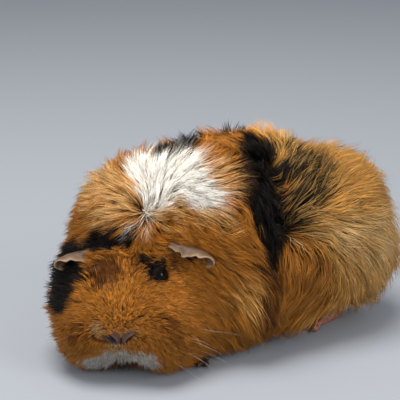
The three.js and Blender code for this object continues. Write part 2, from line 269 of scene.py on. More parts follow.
# What the coat is like at named places of the body. Everything between is a blend of the nearest ones.
# place: (at, depth of the coat over the skin, hair length, lift at the root, tufts per square cm, width)
PLACES = {
    "nose": (nose_middle, 2.2, 3.4, 36, 700, 0.26),
    "nose_bridge": (on_head([0, 36, 50]), 3.0, 6.5, 34, 560, 0.32),
    "nostril_left": (on_head([7, 46, 33]), 2.2, 3.8, 34, 650, 0.28),
    "nostril_right": (on_head([-11, 46, 33]), 2.2, 3.8, 34, 650, 0.28),
    "lip_left": (on_head([7, 46, 22]), 2.6, 5.0, 30, 620, 0.30),
    "lip_right": (on_head([-11, 46, 22]), 2.6, 5.0, 30, 620, 0.30),
    "chin": (on_head([0, 40, 10]), 3.5, 14, 42, 420, 0.36),
    "muzzle_left": (on_head([20, 44, 32]), 4.4, 10, 34, 460, 0.34),
    "muzzle_right": (on_head([-20, 44, 32]), 4.4, 10, 34, 460, 0.34),
    "brow": (on_head([0, 20, 66]), 5.5, 11, 56, 480, 0.36),
    "tower_right": ([-19, -84, 67], 7.0, 13, 66, 480, 0.36),
    "tower_left": ([1, -72, 70], 7.0, 12, 62, 480, 0.36),
    "band": ([-12, -75, 75], 5.0, 10, 15, 300, 0.42),
    "eye_left": (on_head([22, 20, 58]), 3.0, 5.5, 28, 560, 0.32),
    "eye_right_front": ([-4, -93, 56], 4.5, 15, 58, 600, 0.36),
    "eye_right": (on_head([-16, 24, 58]), 4.5, 12, 56, 420, 0.36),
    "cheek_left": (on_head([38, 22, 40]), 7.0, 16, 30, 320, 0.40),
    "cheek_right": (on_head([-38, 18, 40]), 8.0, 21, 47, 200, 0.46),
    "jowl_left": (on_head([34, 26, 18]), 6.5, 15, 30, 320, 0.40),
    "jowl_right": (on_head([-34, 26, 18]), 6.5, 15, 30, 240, 0.44),
    "crown": (on_head([0, -4, 84]), 9.0, 22, 36, 160, 0.48),
    "throat": (on_head([0, 5, 8]), 5.0, 12, 25, 60, 0.6),
    "nape": ([-3, -57, 92], 10.0, 25, 34, 140, 0.5),
    "withers": ([-10, -20, 122], 11.0, 27, 46, 120, 0.52),
    "shoulder_left": ([46, -26, 76], 13, 32, 32, 120, 0.52),
    "shoulder_right": ([-64, -40, 66], 13, 32, 30, 78, 0.64),
    "chest_left": ([46, -24, 30], 10.0, 25, 42, 120, 0.52),
    "chest_right": ([-56, -54, 24], 10.0, 26, 30, 70, 0.62),
    "back": ([10, 26, 126], 11, 28, 48, 120, 0.52),
    "saddle_left": ([52, 0, 80], 10, 26, 24, 120, 0.54),
    "flank_right": ([-68, 12, 66], 12, 32, 28, 74, 0.64),
    "hip_left": ([55, 20, 90], 13, 35, 32, 120, 0.54),
    "hip_right": ([-48, 40, 90], 13, 35, 32, 74, 0.64),
    "thigh_left": ([62, 30, 44], 12.0, 32, 26, 110, 0.54),
    "thigh_right": ([-60, 46, 40], 12.0, 32, 26, 70, 0.64),
    "rump": ([30, 86, 100], 15, 38, 42, 120, 0.54),
    "seat_left": ([56, 92, 60], 15, 38, 36, 120, 0.54),
    "seat": ([20, 112, 60], 14, 37, 36, 85, 0.62),
    "seat_right": ([-30, 92, 60], 14, 36, 36, 74, 0.64),
    "seat_low": ([24, 96, 14], 8, 22, 30, 60, 0.65),
    "belly": ([0, 20, 4], 4, 12, 22, 30, 0.8),
    "belly_left": ([49, 2, 16], 7, 13, 18, 120, 0.5),
    "belly_right": ([-54, 2, 16], 7, 13, 18, 90, 0.5),
}
place_points = np.array([np.asarray(row[0], float) for row in PLACES.values()])
place_values = np.array([row[1:] for row in PLACES.values()], float)


def coat_at(points):
    """Depth, length, lift, density and width of the coat at points."""
    values = np.zeros((len(points), place_values.shape[1]))
    total = np.zeros(len(points))
    for at, row in zip(place_points, place_values):
        weight = 1 / (((points - at) ** 2).sum(1) + 30) ** 2
        values += weight[:, None] * row
        total += weight
    return values / total[:, None]


# Swells and hollows of the coat: from, to, radius, and how far it stands out or lies in.
RELIEF = [
    ((-20, -24, 118), (28, -4, 115), 6, -4),  # the parting behind the white blaze
    ((-20, -10, 124), (14, 6, 126), 7, 2),
    ((34, 0, 108), (55, -4, 62), 12, -5),  # the saddle lies in behind the shoulder
    ((50, 10, 74), (50, 10, 74), 10, -6),  # the whorls of the hips
    ((-44, 10, 74), (-44, 10, 74), 10, -6),
    ((64, 25, 57), (64, 25, 57), 6, -8),
    ((60, 50, 66), (62, 60, 50), 12, 3),
    ((44, 60, 98), (20, 84, 100), 14, -1),
    ((46, -30, 74), (51, -22, 46), 11, 3),  # the ruff of the shoulder
    ((50, -22, 46), (47, -23, 28), 8, 7),
    ((57, -7, 56), (53, -5, 18), 8, -11),
    ((-60, -6, 56), (-58, -4, 20), 8, -9),
    ((36, -46, 60), (42, -56, 30), 7, -4),  # behind the jowl
    ((-24, -78, 76), (6, -67, 76), 5, -6),  # the band over the brow
    ((-19, -84, 68), (1, -73, 70), 5, 4),  # the edge of the brow tuft
    ((-10, -87, 59), (4, -80, 60), 6, -3),
    ((-24, -88, 64), (-18, -103, 48), 6, -3),
    ((-4, -94, 55), (-9, -93, 61), 5, 3), ((-3, -88, 62), (-4, -92, 58), 5, 3),  # the hair that stands before the right eye
    ((17, -62, 60), (24, -56, 62), 6, -2),
    ((-27, -86, 67), (-22, -82, 71), 6, 4),  # the black hair before the right ear
    ((-7, -53, 89), (-7, -53, 89), 7, -5),  # the whorl of the nape
    ((-30, -58, 98), (-18, -54, 104), 12, 2),
    ((-8, -38, 112), (12, -34, 110), 16, -1),
    ((-8, -68, 82), (6, -62, 80), 7, 3),
    ((10, -102, 37), (4, -107, 30), 9, 2.5),  # the whisker pads and the folds behind them
    ((31, -87, 37), (34, -84, 29), 9, 2.5),
    ((-3, -110, 36), (4, -110, 25), 4, -3),
    ((36, -73, 42), (42, -68, 25), 4.5, -4),
    ((18, -98, 13), (16, -94, 6), 6, -3),  # under the lip
]


def relief_at(points):
    total = np.zeros(len(points))
    for start, end, radius, height in RELIEF:
        start, run = np.array(start, float), np.array(end, float) - np.array(start, float)
        along = np.clip((points - start) @ run / max(run @ run, 1e-9), 0, 1)
        apart = ((points - start - along[:, None] * run) ** 2).sum(1)
        total += height * np.exp(-apart / radius**2)
    return total


SKIN_BELLY = 7  # the skin of the belly is this far above the floor


def skin_level(points):
    body = coat_level(points) + coat_at(points)[:, 0] - relief_at(points)
    return -soft_min(-body, points[:, 2] - SKIN_BELLY, 8)


SPINE = np.array([[6, 70, 58], [-3, 40, 58], [-8, 10, 57], [-10, -18, 56], [-9, -42, 52], [-6, -62, 45],
                  [0, -76, 36]], float) + TO_MIDDLE


def spine_at(stations):
    """Points and forward directions of the spine; stations run from 0 at the rump to 1 at the muzzle."""
    knots = np.concatenate([[0], np.cumsum(np.linalg.norm(np.diff(SPINE, axis=0), axis=1))])
    slopes = np.gradient(SPINE, knots, axis=0)
    s = np.clip(stations, 0, 1) * knots[-1]
    k = np.clip(np.searchsorted(knots, s, side="right") - 1, 0, len(knots) - 2)
    step = (knots[k + 1] - knots[k])[:, None]
    t = ((s - knots[k]) / (knots[k + 1] - knots[k]))[:, None]
    a, b, m, n = SPINE[k], SPINE[k + 1], slopes[k] * step, slopes[k + 1] * step
    points = (2 * t**3 - 3 * t**2 + 1) * a + (t**3 - 2 * t**2 + t) * m + (3 * t**2 - 2 * t**3) * b
    points += (t**3 - t**2) * n
    ways = (6 * t**2 - 6 * t) * a + (3 * t**2 - 4 * t + 1) * m + (6 * t - 6 * t**2) * b + (3 * t**2 - 2 * t) * n
    return points, ways / np.linalg.norm(ways, axis=1, keepdims=True)


def skin_rays(rings, turns):
    """Start and direction of the ray that finds the skin for every ring (0 to 1) and turn (0 to 1)."""
    rear, front = 0.16, 0.72  # the share of the rings that wrap the seat, and where the muzzle's begin
    along = np.clip((rings - rear) / (front - rear), 0, 1)
    tilt = np.where(rings < rear, (rings / rear - 1), np.clip((rings - front) / (1 - front), 0, 1)) * math.pi / 2
    start, forward = spine_at(along)
    right = np.cross(forward, [0, 0, 1])
    right /= np.linalg.norm(right, axis=1, keepdims=True)
    above = np.cross(right, forward)
    angle = turns * 2 * math.pi  # nought at the belly
    around = -np.cos(angle)[:, None] * above + np.sin(angle)[:, None] * right
    way = np.cos(tilt)[:, None] * around + np.sin(tilt)[:, None] * forward
    return start, way


def cast_out(start, way, level):
    """The first place along each ray where the level rises through nought."""
    inner = np.zeros(len(start))
    outer = np.full(len(start), np.nan)
    active = np.arange(len(start))
    distance = 0.0
    while len(active) and distance < 160:
        distance += 2.0
        risen = level(start[active] + way[active] * distance) >= 0
        outer[active[risen]] = distance
        active = active[~risen]
    outer = np.nan_to_num(outer, nan=distance)
    inner = outer - 2.0
    for _ in range(12):
        middle = (inner + outer) / 2
        inside = level(start + way * middle[:, None]) < 0
        inner = np.where(inside, middle, inner)
        outer = np.where(inside, outer, middle)
    return start + way * outer[:, None]


RINGS, SIDES = 200, 216
ring_grid, side_grid = np.meshgrid(np.linspace(0, 1, RINGS + 1), np.arange(SIDES) / SIDES, indexing="ij")
ring_start, ring_way = skin_rays(ring_grid.ravel(), side_grid.ravel())
skin_grid = cast_out(ring_start, ring_way, skin_level).reshape(RINGS + 1, SIDES, 3)
for _ in range(2):  # evens out the rings where the neck bends
    around = (np.roll(skin_grid, 1, 1) + np.roll(skin_grid, -1, 1)) / 2
    skin_grid = 0.5 * skin_grid + 0.5 * around
    skin_grid[1:-1] = 0.5 * skin_grid[1:-1] + 0.25 * (skin_grid[:-2] + skin_grid[2:])
skin_grid[0] = skin_grid[0].mean(0)
skin_grid[-1] = skin_grid[-1].mean(0)


def grid_normals(grid):
    d_ring = np.gradient(grid, axis=0)
    d_side = (np.roll(grid, -1, 1) - np.roll(grid, 1, 1)) / 2
    normal = np.cross(d_side, d_ring)
    length = np.linalg.norm(normal, axis=2, keepdims=True)
    normal = normal / np.maximum(length, 1e-9)
    normal[0] = normal[1].mean(0) / np.linalg.norm(normal[1].mean(0))
    normal[-1] = normal[-2].mean(0) / np.linalg.norm(normal[-2].mean(0))
    return normal


skin_normals = grid_normals(skin_grid)
outward = ((skin_grid - ring_start.reshape(skin_grid.shape)) * skin_normals).sum(2).mean()
skin_normals *= math.copysign(1, outward)

# The way the coat lies: where a stroke of hair starts and which way it runs.
LIE = {
    "bridge": ((17, -94, 35), (0.0, 0.0, 1.0)),
    "philtrum_left": ((23, -95, 24), (0.5, 0.2, -0.8)),
    "philtrum_right": ((17, -100, 24), (-0.4, -0.4, -0.8)),
    "bridge_high": ((16, -93, 48), (-0.5, 0.4, 0.7)),
    "tower": ((-1, -87, 59), (-0.6, 0.6, 0.5)),
    "before_right_eye": ((-4, -94, 55), (-0.3, 0.5, 0.8)),
    "brow_left": ((24, -90, 44), (0.1, 0.8, 0.6)),
    "under_eye": ((29, -78, 48), (0.4, 0.9, 0.2)),
    "face_right": ((10, -100, 44), (-0.9, -0.2, 0.3)),
    "face_right_low": ((1, -108, 39), (-1.0, -0.1, 0.1)),
    "lip_right": ((11, -104, 36), (-0.7, -0.5, -0.5)),
    "jowl_right": ((4, -110, 28), (-0.6, -0.3, -0.7)),
    "lip_left": ((30, -89, 35), (0.6, 0.8, -0.2)),
    "jowl_left": ((35, -84, 27), (0.4, 0.7, -0.7)),
    "cheek_low": ((39, -74, 36), (0.4, 0.7, -0.6)),
    "cheek": ((31, -68, 49), (0.5, 0.9, -0.1)),
    "cheek_back": ((38, -66, 41), (0.3, 0.8, -0.4)),
    "chin_left": ((31, -86, 21), (0.2, 0.7, -0.7)),
    "chin_right": ((15, -100, 19), (-0.7, -0.2, -0.7)),
    "chin": ((18, -95, 18), (-0.4, 0.3, -0.9)),
    "cheek_right": ((-7, -101, 49), (-1.0, -0.2, -0.1)),
    "cheek_right_high": ((-15, -98, 54), (-1.0, -0.1, 0.1)),
    "temple_right": ((-17, -89, 62), (-0.9, -0.3, -0.2)),
    "band_right": ((-22, -79, 72), (-0.5, -0.7, -0.5)),
    "fringe": ((-6, -65, 83), (0.3, -0.5, -0.8)),
    "fringe_left": ((5, -57, 83), (0.6, -0.1, -0.8)),
    "fringe_right": ((-2, -60, 85), (-0.2, -0.7, -0.7)),
    "behind_ear": ((36, -41, 64), (0.6, 0.4, -0.7)),
    "behind_eye": ((21, -60, 61), (0.6, 0.8, -0.1)),
    "below_ear": ((28, -57, 56), (0.6, 0.8, -0.2)),
    "crest": ((-12, -60, 93), (-0.9, -0.3, 0.2)),
    "crest_high": ((-12, -56, 98), (-0.9, 0.0, 0.4)),
    "crest_low": ((-8, -63, 85), (-0.7, -0.6, -0.4)),
    "white_right": ((-6, -57, 92), (-0.7, 0.2, 0.7)),
    "white": ((1, -50, 97), (-0.2, 0.5, 0.8)),
    "white_left": ((8, -46, 98), (0.7, 0.5, 0.5)),
    "white_low": ((16, -44, 94), (0.9, 0.4, -0.1)),
    "nape": ((5, -54, 88), (0.8, 0.6, -0.1)),
    "nape_low": ((15, -52, 78), (0.8, 0.6, -0.0)),
    "shoulder_high": ((24, -45, 83), (0.8, 0.5, -0.2)),
    "shoulder": ((39, -36, 73), (0.7, 0.7, -0.3)),
    "patch": ((20, -26, 113), (0.8, 0.6, -0.0)),
    "patch_top": ((23, -17, 116), (0.2, 1.0, 0.2)),
    "withers": ((0, -30, 118), (0.3, 0.9, 0.2)),
    "withers_right": ((-30, -34, 110), (-0.6, 0.6, 0.3)),
    "ruff": ((46, -29, 66), (0.6, 0.7, -0.4)),
    "ruff_low": ((45, -30, 47), (0.3, 0.7, -0.7)),
    "elbow": ((47, -26, 34), (0.25, 0.5, -0.8)),
    "before_thigh": ((52, -12, 36), (0.2, 0.2, -0.95)),
    "ridge": ((0, -4, 125), (-0.2, -0.5, 0.8)),
    "ridge_left": ((16, 4, 124), (0.2, -0.4, 0.8)),
    "mid_back": ((10, 28, 124), (0.0, -0.1, 0.9)),
    "crest_right_far": ((-48, -62, 80), (-0.8, -0.5, -0.4)),
    "neck_right": ((-66, -50, 66), (-0.5, 0.5, -0.7)),
    "shoulder_right": ((-70, -26, 70), (-0.3, 0.7, -0.6)),
    "shoulder_right_high": ((-58, -22, 96), (-0.6, 0.7, -0.2)),
    "elbow_right": ((-70, -36, 40), (-0.1, 0.6, -0.8)),
    "throat": ((0, -66, 10), (-0.3, 0.8, -0.3)),
    "belly": ((0, 10, 4), (0, 1, 0)),
    "belly_rear": ((10, 60, 4), (0, 1, 0)),
    "seat_high": ((26, 100, 96), (0.1, 0.9, 0.4)),
    "seat": ((26, 112, 66), (0.1, 0.6, -0.7)),
    "seat_low": ((26, 104, 32), (0.0, 0.4, -0.9)),
}
LIE_ON_BOTH_SIDES = {  # behind the shoulder, on the left side and mirrored on the right
    "saddle": ((35, 4, 108), (0.5, -0.5, -0.7)),
    "saddle_mid": ((46, -7, 91), (0.5, -0.3, -0.8)),
    "saddle_low": ((53, -1, 78), (0.2, -0.2, -0.9)),
    "hip_up": ((52, 8, 83), (-0.4, 0.5, 0.8)),
    "hip_up_back": ((53, 13, 82), (-0.2, 0.8, 0.5)),
    "hip_back": ((55, 17, 79), (0.1, 1.0, 0.2)),
    "hip_top": ((39, 22, 101), (-0.5, 0.7, 0.5)),
    "hip_top_back": ((35, 41, 103), (-0.5, 0.8, 0.3)),
    "hip_mid": ((45, 31, 95), (-0.2, 0.9, 0.3)),
    "rump_top": ((40, 54, 102), (-0.3, 0.9, 0.3)),
    "rump_high": ((47, 53, 97), (-0.1, 1.0, 0.3)),
    "rump_side": ((54, 57, 92), (0.2, 1.0, -0.1)),
    "rump_mid": ((60, 47, 82), (0.3, 0.9, -0.2)),
    "swirl": ((60, 39, 80), (0.6, 0.6, -0.6)),
    "swirl_back": ((66, 44, 71), (0.4, 0.7, -0.6)),
    "swirl_down": ((68, 45, 60), (0.2, 0.6, -0.8)),
    "swirl_under": ((66, 34, 62), (0.2, 0.2, -1.0)),
    "whorl_back": ((58, 21, 74), (0.3, 0.9, -0.1)),
    "whorl_back_low": ((61, 22, 69), (0.5, 0.6, -0.7)),
    "thigh": ((57, 12, 71), (0.2, -0.7, -0.7)),
    "thigh_back": ((59, 16, 68), (0.1, -0.3, -1.0)),
    "thigh_mid": ((62, 19, 56), (-0.2, -0.7, -0.7)),
    "thigh_low": ((65, 28, 47), (-0.2, -0.8, -0.5)),
    "knee": ((58, 16, 33), (-0.3, -0.9, -0.2)),
    "seat_side": ((56, 84, 60), (0.4, 0.6, -0.7)),
    "seat_side_low": ((56, 78, 34), (0.2, 0.4, -0.9)),
}
WHORLS = [((-7, -53, 89), 9), ((50, 10, 74), 11), ((-44, 10, 74), 11)]  # the hair runs out all round these


def middle_at(y):
    """Where the middle of the trunk is, from the shoulders to the seat."""
    return np.interp(y, [-40, 0, 60, 100], [-6, 1, 15, 22])


head_left = head_way([1, 0, 0])
lie_from, lie_way = [], []
for at, way in list(LIE.values()) + list(LIE_ON_BOTH_SIDES.values()):
    lie_from.append(np.array(at, float))
    lie_way.append(np.array(way, float))
for at, way in LIE_ON_BOTH_SIDES.values():
    lie_from.append(np.array([2 * middle_at(at[1]) - at[0], at[1], at[2]]))
    lie_way.append(np.array([-way[0], way[1], way[2]], float))
for name in ("cheek", "cheek_low", "cheek_back", "behind_eye", "below_ear"):
    at, way = (np.array(v, float) for v in LIE[name])
    lie_from.append(at - 2 * (at - HEAD_AT).dot(head_left) * head_left)
    lie_way.append(way - 2 * way.dot(head_left) * head_left)


def lie_at(points, normals):
    """Which way the coat runs at points, along the skin, and how much its strokes agree there."""
    run = np.zeros(points.shape)
    total = np.zeros(len(points))
    for at, way in zip(lie_from, lie_way):
        weight = 1 / (((points - at) ** 2).sum(1) + 20) ** 2
        run += weight[:, None] * (way / np.linalg.norm(way))
        total += weight
    run /= total[:, None]
    for at, reach in WHORLS:
        apart = points - at
        distance = np.linalg.norm(apart, axis=1)
        share = np.exp(-((distance / reach) ** 2))[:, None]
        run = run * (1 - share) + share * apart / np.maximum(distance, 0.5)[:, None]
    run -= (run * normals).sum(1)[:, None] * normals
    agree = np.linalg.norm(run, axis=1)
    return run / np.maximum(agree, 1e-6)[:, None], np.clip(agree, 0, 1)


# The colours of a hair at its root and at its tip, how much one lock differs from the next, how much paler
# the palest tips are, and how far the edge of a patch of it wanders, in mm. The darker roots are partly the
# hair's own colour and partly painted shade deep in the coat.
COAT_COLOURS = {
    "ginger": ("#44220A", "#C67E28", 0.30, 0.22, 1),
    "face": ("#48260A", "#C27C26", 0.24, 0.18, 1),
    # brow is a dark brown that stands for painted shade in hollows and gaps of the coat.
    "brow": ("#2A1203", "#64340A", 0.14, 0.10, 2.5),
    "olive": ("#3A2A12", "#AE8A4E", 0.25, 0.25, 1),
    "cheek": ("#5C320E", "#DC9036", 0.24, 0.20, 4),
    # fold is a darker ginger that stands for painted shade in folds of the coat.
    "fold": ("#341A06", "#8E5018", 0.16, 0.10, 4),
    "crest": ("#804C1A", "#F8CA86", 0.20, 0.40, 4),
    "rump": ("#56340E", "#E6AC58", 0.22, 0.30, 4),
    "straw": ("#684420", "#F0CA8C", 0.20, 0.35, 6),
    "thigh": ("#3A2007", "#B87628", 0.22, 0.22, 5),
    "white": ("#F0EAE0", "#FFFFFC", 0.04, 0.0, 1),
    "cream": ("#9A6228", "#E6BC7A", 0.16, 0.35, 3),
    "black": ("#030304", "#0E0D10", 0.25, 0.03, 1),
    "chin": ("#4A4642", "#D8D2C8", 0.18, 0.0, 1.2),
    "pale": ("#7A5A38", "#C09C6C", 0.12, 0.10, 1.5),
    "belly": ("#54442E", "#A8977A", 0.12, 0.0, 4),
}
PALE_TIP = linear("#F0CE94")
MARKINGS = [  # colour, middle and radius of each patch; where patches meet, the nearer edge wins
    ("white", (-20, -42, 113), 13), ("white", (-9, -52, 104), 9), ("white", (-6, -36, 115), 15), ("white", (6, -34, 111), 17),
    ("white", (24, -33, 101), 12), ("white", (2, -47, 100), 11), ("white", (-1, -55, 92), 5),
    ("cream", (38, -29, 88), 3.5), ("white", (1, -61, 83), 3.2), ("white", (-6, -67, 78), 3),
    ("cream", (16, -45, 93), 6), ("cream", (28, -37, 94), 6), ("cream", (6, -53, 91), 4),
    ("crest", (28, -19, 110), 9),
    ("black", (26, 8, 118), 13), ("black", (36, 3, 109), 15), ("black", (42, -1, 98), 15.5),
    # The last black patch here, at the saddle's foot, is partly painted shade in the gap between ruff and thigh.
    ("black", (48, -3, 87), 14), ("black", (53, -4, 76), 11.5), ("black", (55, -5, 67), 9), ("black", (55, -8, 58), 6),
    ("black", (-18, -17, 122), 16), ("black", (20, 14, 121), 13), ("black", (-6, 12, 127), 12),
    ("black", (-26, 2, 120), 15), ("black", (-42, 0, 106), 15), ("black", (-54, 0, 90), 13), ("black", (-60, -2, 74), 10),
    ("ginger", (10, -5, 126), 9),
    ("black", (-28, -90, 63), 10), ("black", (-25, -98, 53), 13), ("black", (-22, -106, 44), 10),
    ("black", (-22, -80, 73), 8), ("black", (-13, -76, 75), 7.5), ("black", (-4, -71, 76), 5.5),
    ("black", (-35, -85, 56), 15), ("black", (-36, -96, 50), 12), ("black", (-17, -95, 57), 6),
    ("black", (-18, -102, 49), 6), ("black", (-20, -107, 42), 6), ("black", (-30, -104, 42), 9),
    # The black round the left eye is hair; the thin dark line under the fringe and the dark spots by the left ear's
    # root are painted shade.
    ("black", (9, -69, 67), 3), ("black", (13, -65, 67), 3), ("black", (15, -64, 59), 7.5), ("black", (18, -60, 65), 3.5),
    ("brow", (22, -56, 65), 4), ("brow", (19, -52, 72), 3), ("black", (28, -49, 69), 3.5), ("brow", (8, -73, 66), 3),
    # Painted shade in the folds behind the whisker pads.
    ("fold", (1, -111, 29), 6), ("fold", (38, -72, 36), 5), ("fold", (40, -70, 28), 5),
    ("cheek", (36, -62, 46), 9), ("cheek", (46, -56, 34), 9),
    ("rump", (49, -23, 42), 9),
    # Painted shade in the furrow under the brow tuft.
    ("brow", (-3, -85, 61), 10),
    # The chin is pale hair; the dark brown patch beneath it is painted shade under the chin.
    ("chin", (18, -95, 12), 12), ("chin", (30, -86, 13), 10), ("chin", (6, -99, 10), 10), ("brow", (12, -84, 1), 15),
    ("pale", (18, -97, 23), 5), ("pale", (13, -105, 35), 3), ("pale", (27, -92, 34), 2),
    ("crest", (-24, -62, 92), 16), ("crest", (-40, -56, 96), 16),
    ("brindle", (50, 20, 88), 15), ("brindle", (41, 36, 100), 17), ("brindle", (27, 44, 110), 15),
    ("brindle", (34, 54, 104), 11), ("brindle", (56, 16, 79), 8), ("black", (51, 13, 82), 7), ("black", (36, 26, 108), 9),
    ("brindle", (-30, 34, 108), 14), ("brindle", (-46, 24, 94), 12),
    ("straw", (66, 46, 66), 17), ("straw", (60, 72, 56), 20), ("straw", (59, 14, 67), 6),
    # Painted shade in the pocket of the hip whorl, in the gap between the shoulder's ruff and the thigh, and low on the
    # thigh.
    ("brow", (64, 25, 57), 4.5), ("brow", (55, -8, 48), 6), ("brow", (52, -9, 34), 7),
    ("brow", (50, -8, 22), 7), ("fold", (61, 28, 28), 8),
    ("thigh", (60, 18, 50), 18), ("thigh", (58, 14, 32), 18),
    ("belly", (0, 10, 0), 26), ("belly", (6, 50, 0), 24), ("belly", (0, -30, 2), 18),
]
colour_names = list(COAT_COLOURS)
colour_of = {name: number for number, name in enumerate(colour_names)}
colour_of["brindle"] = colour_of["rump"]
root_colours = np.array([linear(COAT_COLOURS[name][0]) for name in colour_names])
tip_colours = np.array([linear(COAT_COLOURS[name][1]) for name in colour_names])
colour_spread, pale_share, edge_softness = np.array([COAT_COLOURS[name][2:] for name in colour_names]).T


def marking_at(points, waver, roll):
    """Which coat colour grows at points. Waver, about 1 either way, moves the edges; roll decides the brindle."""
    best = np.zeros(len(points))
    kind = np.full(len(points), colour_of["ginger"])
    kind[(points - HEAD_AT) @ head_way([0, 1, 0]) > -6] = colour_of["face"]
    kind[points[:, 1] > 22] = colour_of["rump"]
    for name, at, radius in MARKINGS:
        edge = np.linalg.norm(points - at, axis=1) - radius + waver * edge_softness[colour_of[name]]
        nearer = edge < best
        best[nearer] = edge[nearer]
        if name == "brindle":
            kind = np.where(nearer, np.where(roll < 0.58, colour_of["black"], colour_of["olive"]), kind)
        else:
            kind[nearer] = colour_of[name]
    return kind


def over_coat(points, normals):
    """The places on the outline of the coat that lie over points."""
    return points - normals * coat_level(points)[:, None]


skin_points = skin_grid.reshape(-1, 3)
skin_flat_normals = skin_normals.reshape(-1, 3)
rows = np.arange(RINGS)[:, None] * SIDES
cols = np.arange(SIDES)[None, :]
nexts = (cols + 1) % SIDES
quads = np.stack([rows + cols, rows + nexts, rows + SIDES + nexts, rows + SIDES + cols], -1).reshape(-1, 4)
if outward < 0:
    quads = quads[:, ::-1]
skin = build_mesh("skin", skin_points, quads)
cleaner = bmesh.new()
cleaner.from_mesh(skin.data)
bmesh.ops.remove_doubles(cleaner, verts=cleaner.verts, dist=1e-6)
cleaner.to_mesh(skin.data)
cleaner.free()
kept = np.empty(len(skin.data.vertices) * 3)
skin.data.vertices.foreach_get("co", kept)
kept = kept.reshape(-1, 3) / MM
kept_normals = np.empty(len(kept) * 3)
skin.data.vertices.foreach_get("normal", kept_normals)
kept_normals = kept_normals.reshape(-1, 3)
kind = marking_at(over_coat(kept, kept_normals), np.zeros(len(kept)), np.full(len(kept), 0.3))
tint = root_colours[kind] * 0.7 + tip_colours[kind] * 0.3
layer = skin.data.color_attributes.new("coat_colour", "FLOAT_COLOR", "POINT")
layer.data.foreach_set("color", np.concatenate([tint, np.ones((len(tint), 1))], 1).astype(np.float32).ravel())

# Skin under close fur: the colour of the hair that grows there, broken up by fine short nap.
skin_surface, tree = new_material("skin_under_nap")
colour = add_node(tree, "ShaderNodeAttribute", attribute_name="coat_colour")
place = add_node(tree, "ShaderNodeTexCoord")
nap = add_node(tree, "ShaderNodeTexNoise", {"Vector": place.outputs["Object"]}, Scale=1400, Detail=3)
shade = add_node(tree, "ShaderNodeMapRange", {"Value": nap.outputs["Fac"]}, To_Min=0.55, To_Max=1.05)
tone = add_node(tree, "ShaderNodeVectorMath", {"Vector": colour.outputs["Color"]}, operation="SCALE")
tree.links.new(shade.outputs[0], tone.inputs["Scale"])
bump = add_node(tree, "ShaderNodeBump", {"Height": nap.outputs["Fac"]}, Strength=0.6, Distance=0.0006)
shader = add_node(tree, "ShaderNodeBsdfPrincipled", {"Base Color": tone.outputs[0], "Normal": bump.outputs[0]},
                  Roughness=0.75)
finish_material(tree, shader)
skin.data.materials.append(skin_surface)
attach(skin, "root")
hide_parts("head", "muzzle", "chin", "throat", "neck", "shoulders", "barrel", "rump", "foreleg_left",
            "foreleg_right", "haunch_left", "haunch_right")

# ---- Eyes ------------------------------------------------------------------------------------------
# Dark wet balls with a clear bulging cornea, each held in its socket by a ring of black lid skin.


def grid_faces(rows_count, cols_count, wrap=True):
    """Quads between rows of points; wrap joins the last column to the first."""
    faces = []
    for r in range(rows_count - 1):
        for c in range(cols_count if wrap else cols_count - 1):
            d = (c + 1) % cols_count
            faces.append((r * cols_count + c, (r + 1) * cols_count + c, (r + 1) * cols_count + d, r * cols_count + d))
    return faces


# Wet cornea over a near-black brown iris.
eye_surface, tree = new_material("wet_dark_eye")
place = add_node(tree, "ShaderNodeTexCoord")
fleck = add_node(tree, "ShaderNodeTexNoise", {"Vector": place.outputs["Object"]}, Scale=900, Detail=3)
ramp = add_node(tree, "ShaderNodeValToRGB", {"Fac": fleck.outputs["Fac"]})
ramp.color_ramp.elements[0].color = (*linear("#020202"), 1)
ramp.color_ramp.elements[1].color = (*linear("#0C0706"), 1)
shader = add_node(tree, "ShaderNodeBsdfPrincipled", {"Base Color": ramp.outputs[0]}, Roughness=0.06,
                  Specular_IOR_Level=0.16)
finish_material(tree, shader)

# Hairless black lid skin, a little greasy, with fine creases.
lid_surface, tree = new_material("black_lid_skin")
place = add_node(tree, "ShaderNodeTexCoord")
crease = add_node(tree, "ShaderNodeTexNoise", {"Vector": place.outputs["Object"]}, Scale=1500, Detail=4)
ramp = add_node(tree, "ShaderNodeValToRGB", {"Fac": crease.outputs["Fac"]})
ramp.color_ramp.elements[0].color = (*linear("#050404"), 1)
ramp.color_ramp.elements[1].color = (*linear("#15100E"), 1)
bump = add_node(tree, "ShaderNodeBump", {"Height": crease.outputs["Fac"]}, Strength=0.5, Distance=0.0002)
shader = add_node(tree, "ShaderNodeBsdfPrincipled", {"Base Color": ramp.outputs[0], "Normal": bump.outputs[0]},
                  Roughness=0.7, Specular_IOR_Level=0.06)
finish_material(tree, shader)

EYE_ROWS, EYE_COLUMNS = 24, 40
EYE_RADIUS, EYE_BULGE = 5.6, 1.3
CORNEA_BULGE = 0.35
LID_OPENING = (3.5, 2.9)  # half-lengths of the slit between the lids, along and across the face
LID_PROFILE = [(0, 0.05), (6, 0.45), (16, 0.6), (30, 0.3), (46, -0.8), (34, -1.4), (8, -0.5)]  # degrees, mm
eye_spots = {}
for side, sign in (("left", 1), ("right", -1)):
    look = head_way([sign * 0.73, 0.59, 0.34])
    surface = cast_out(on_head([0, 10, 50])[None], look[None], coat_level)[0]
    eye_spots[side] = (surface + look * (EYE_BULGE - EYE_RADIUS), look)

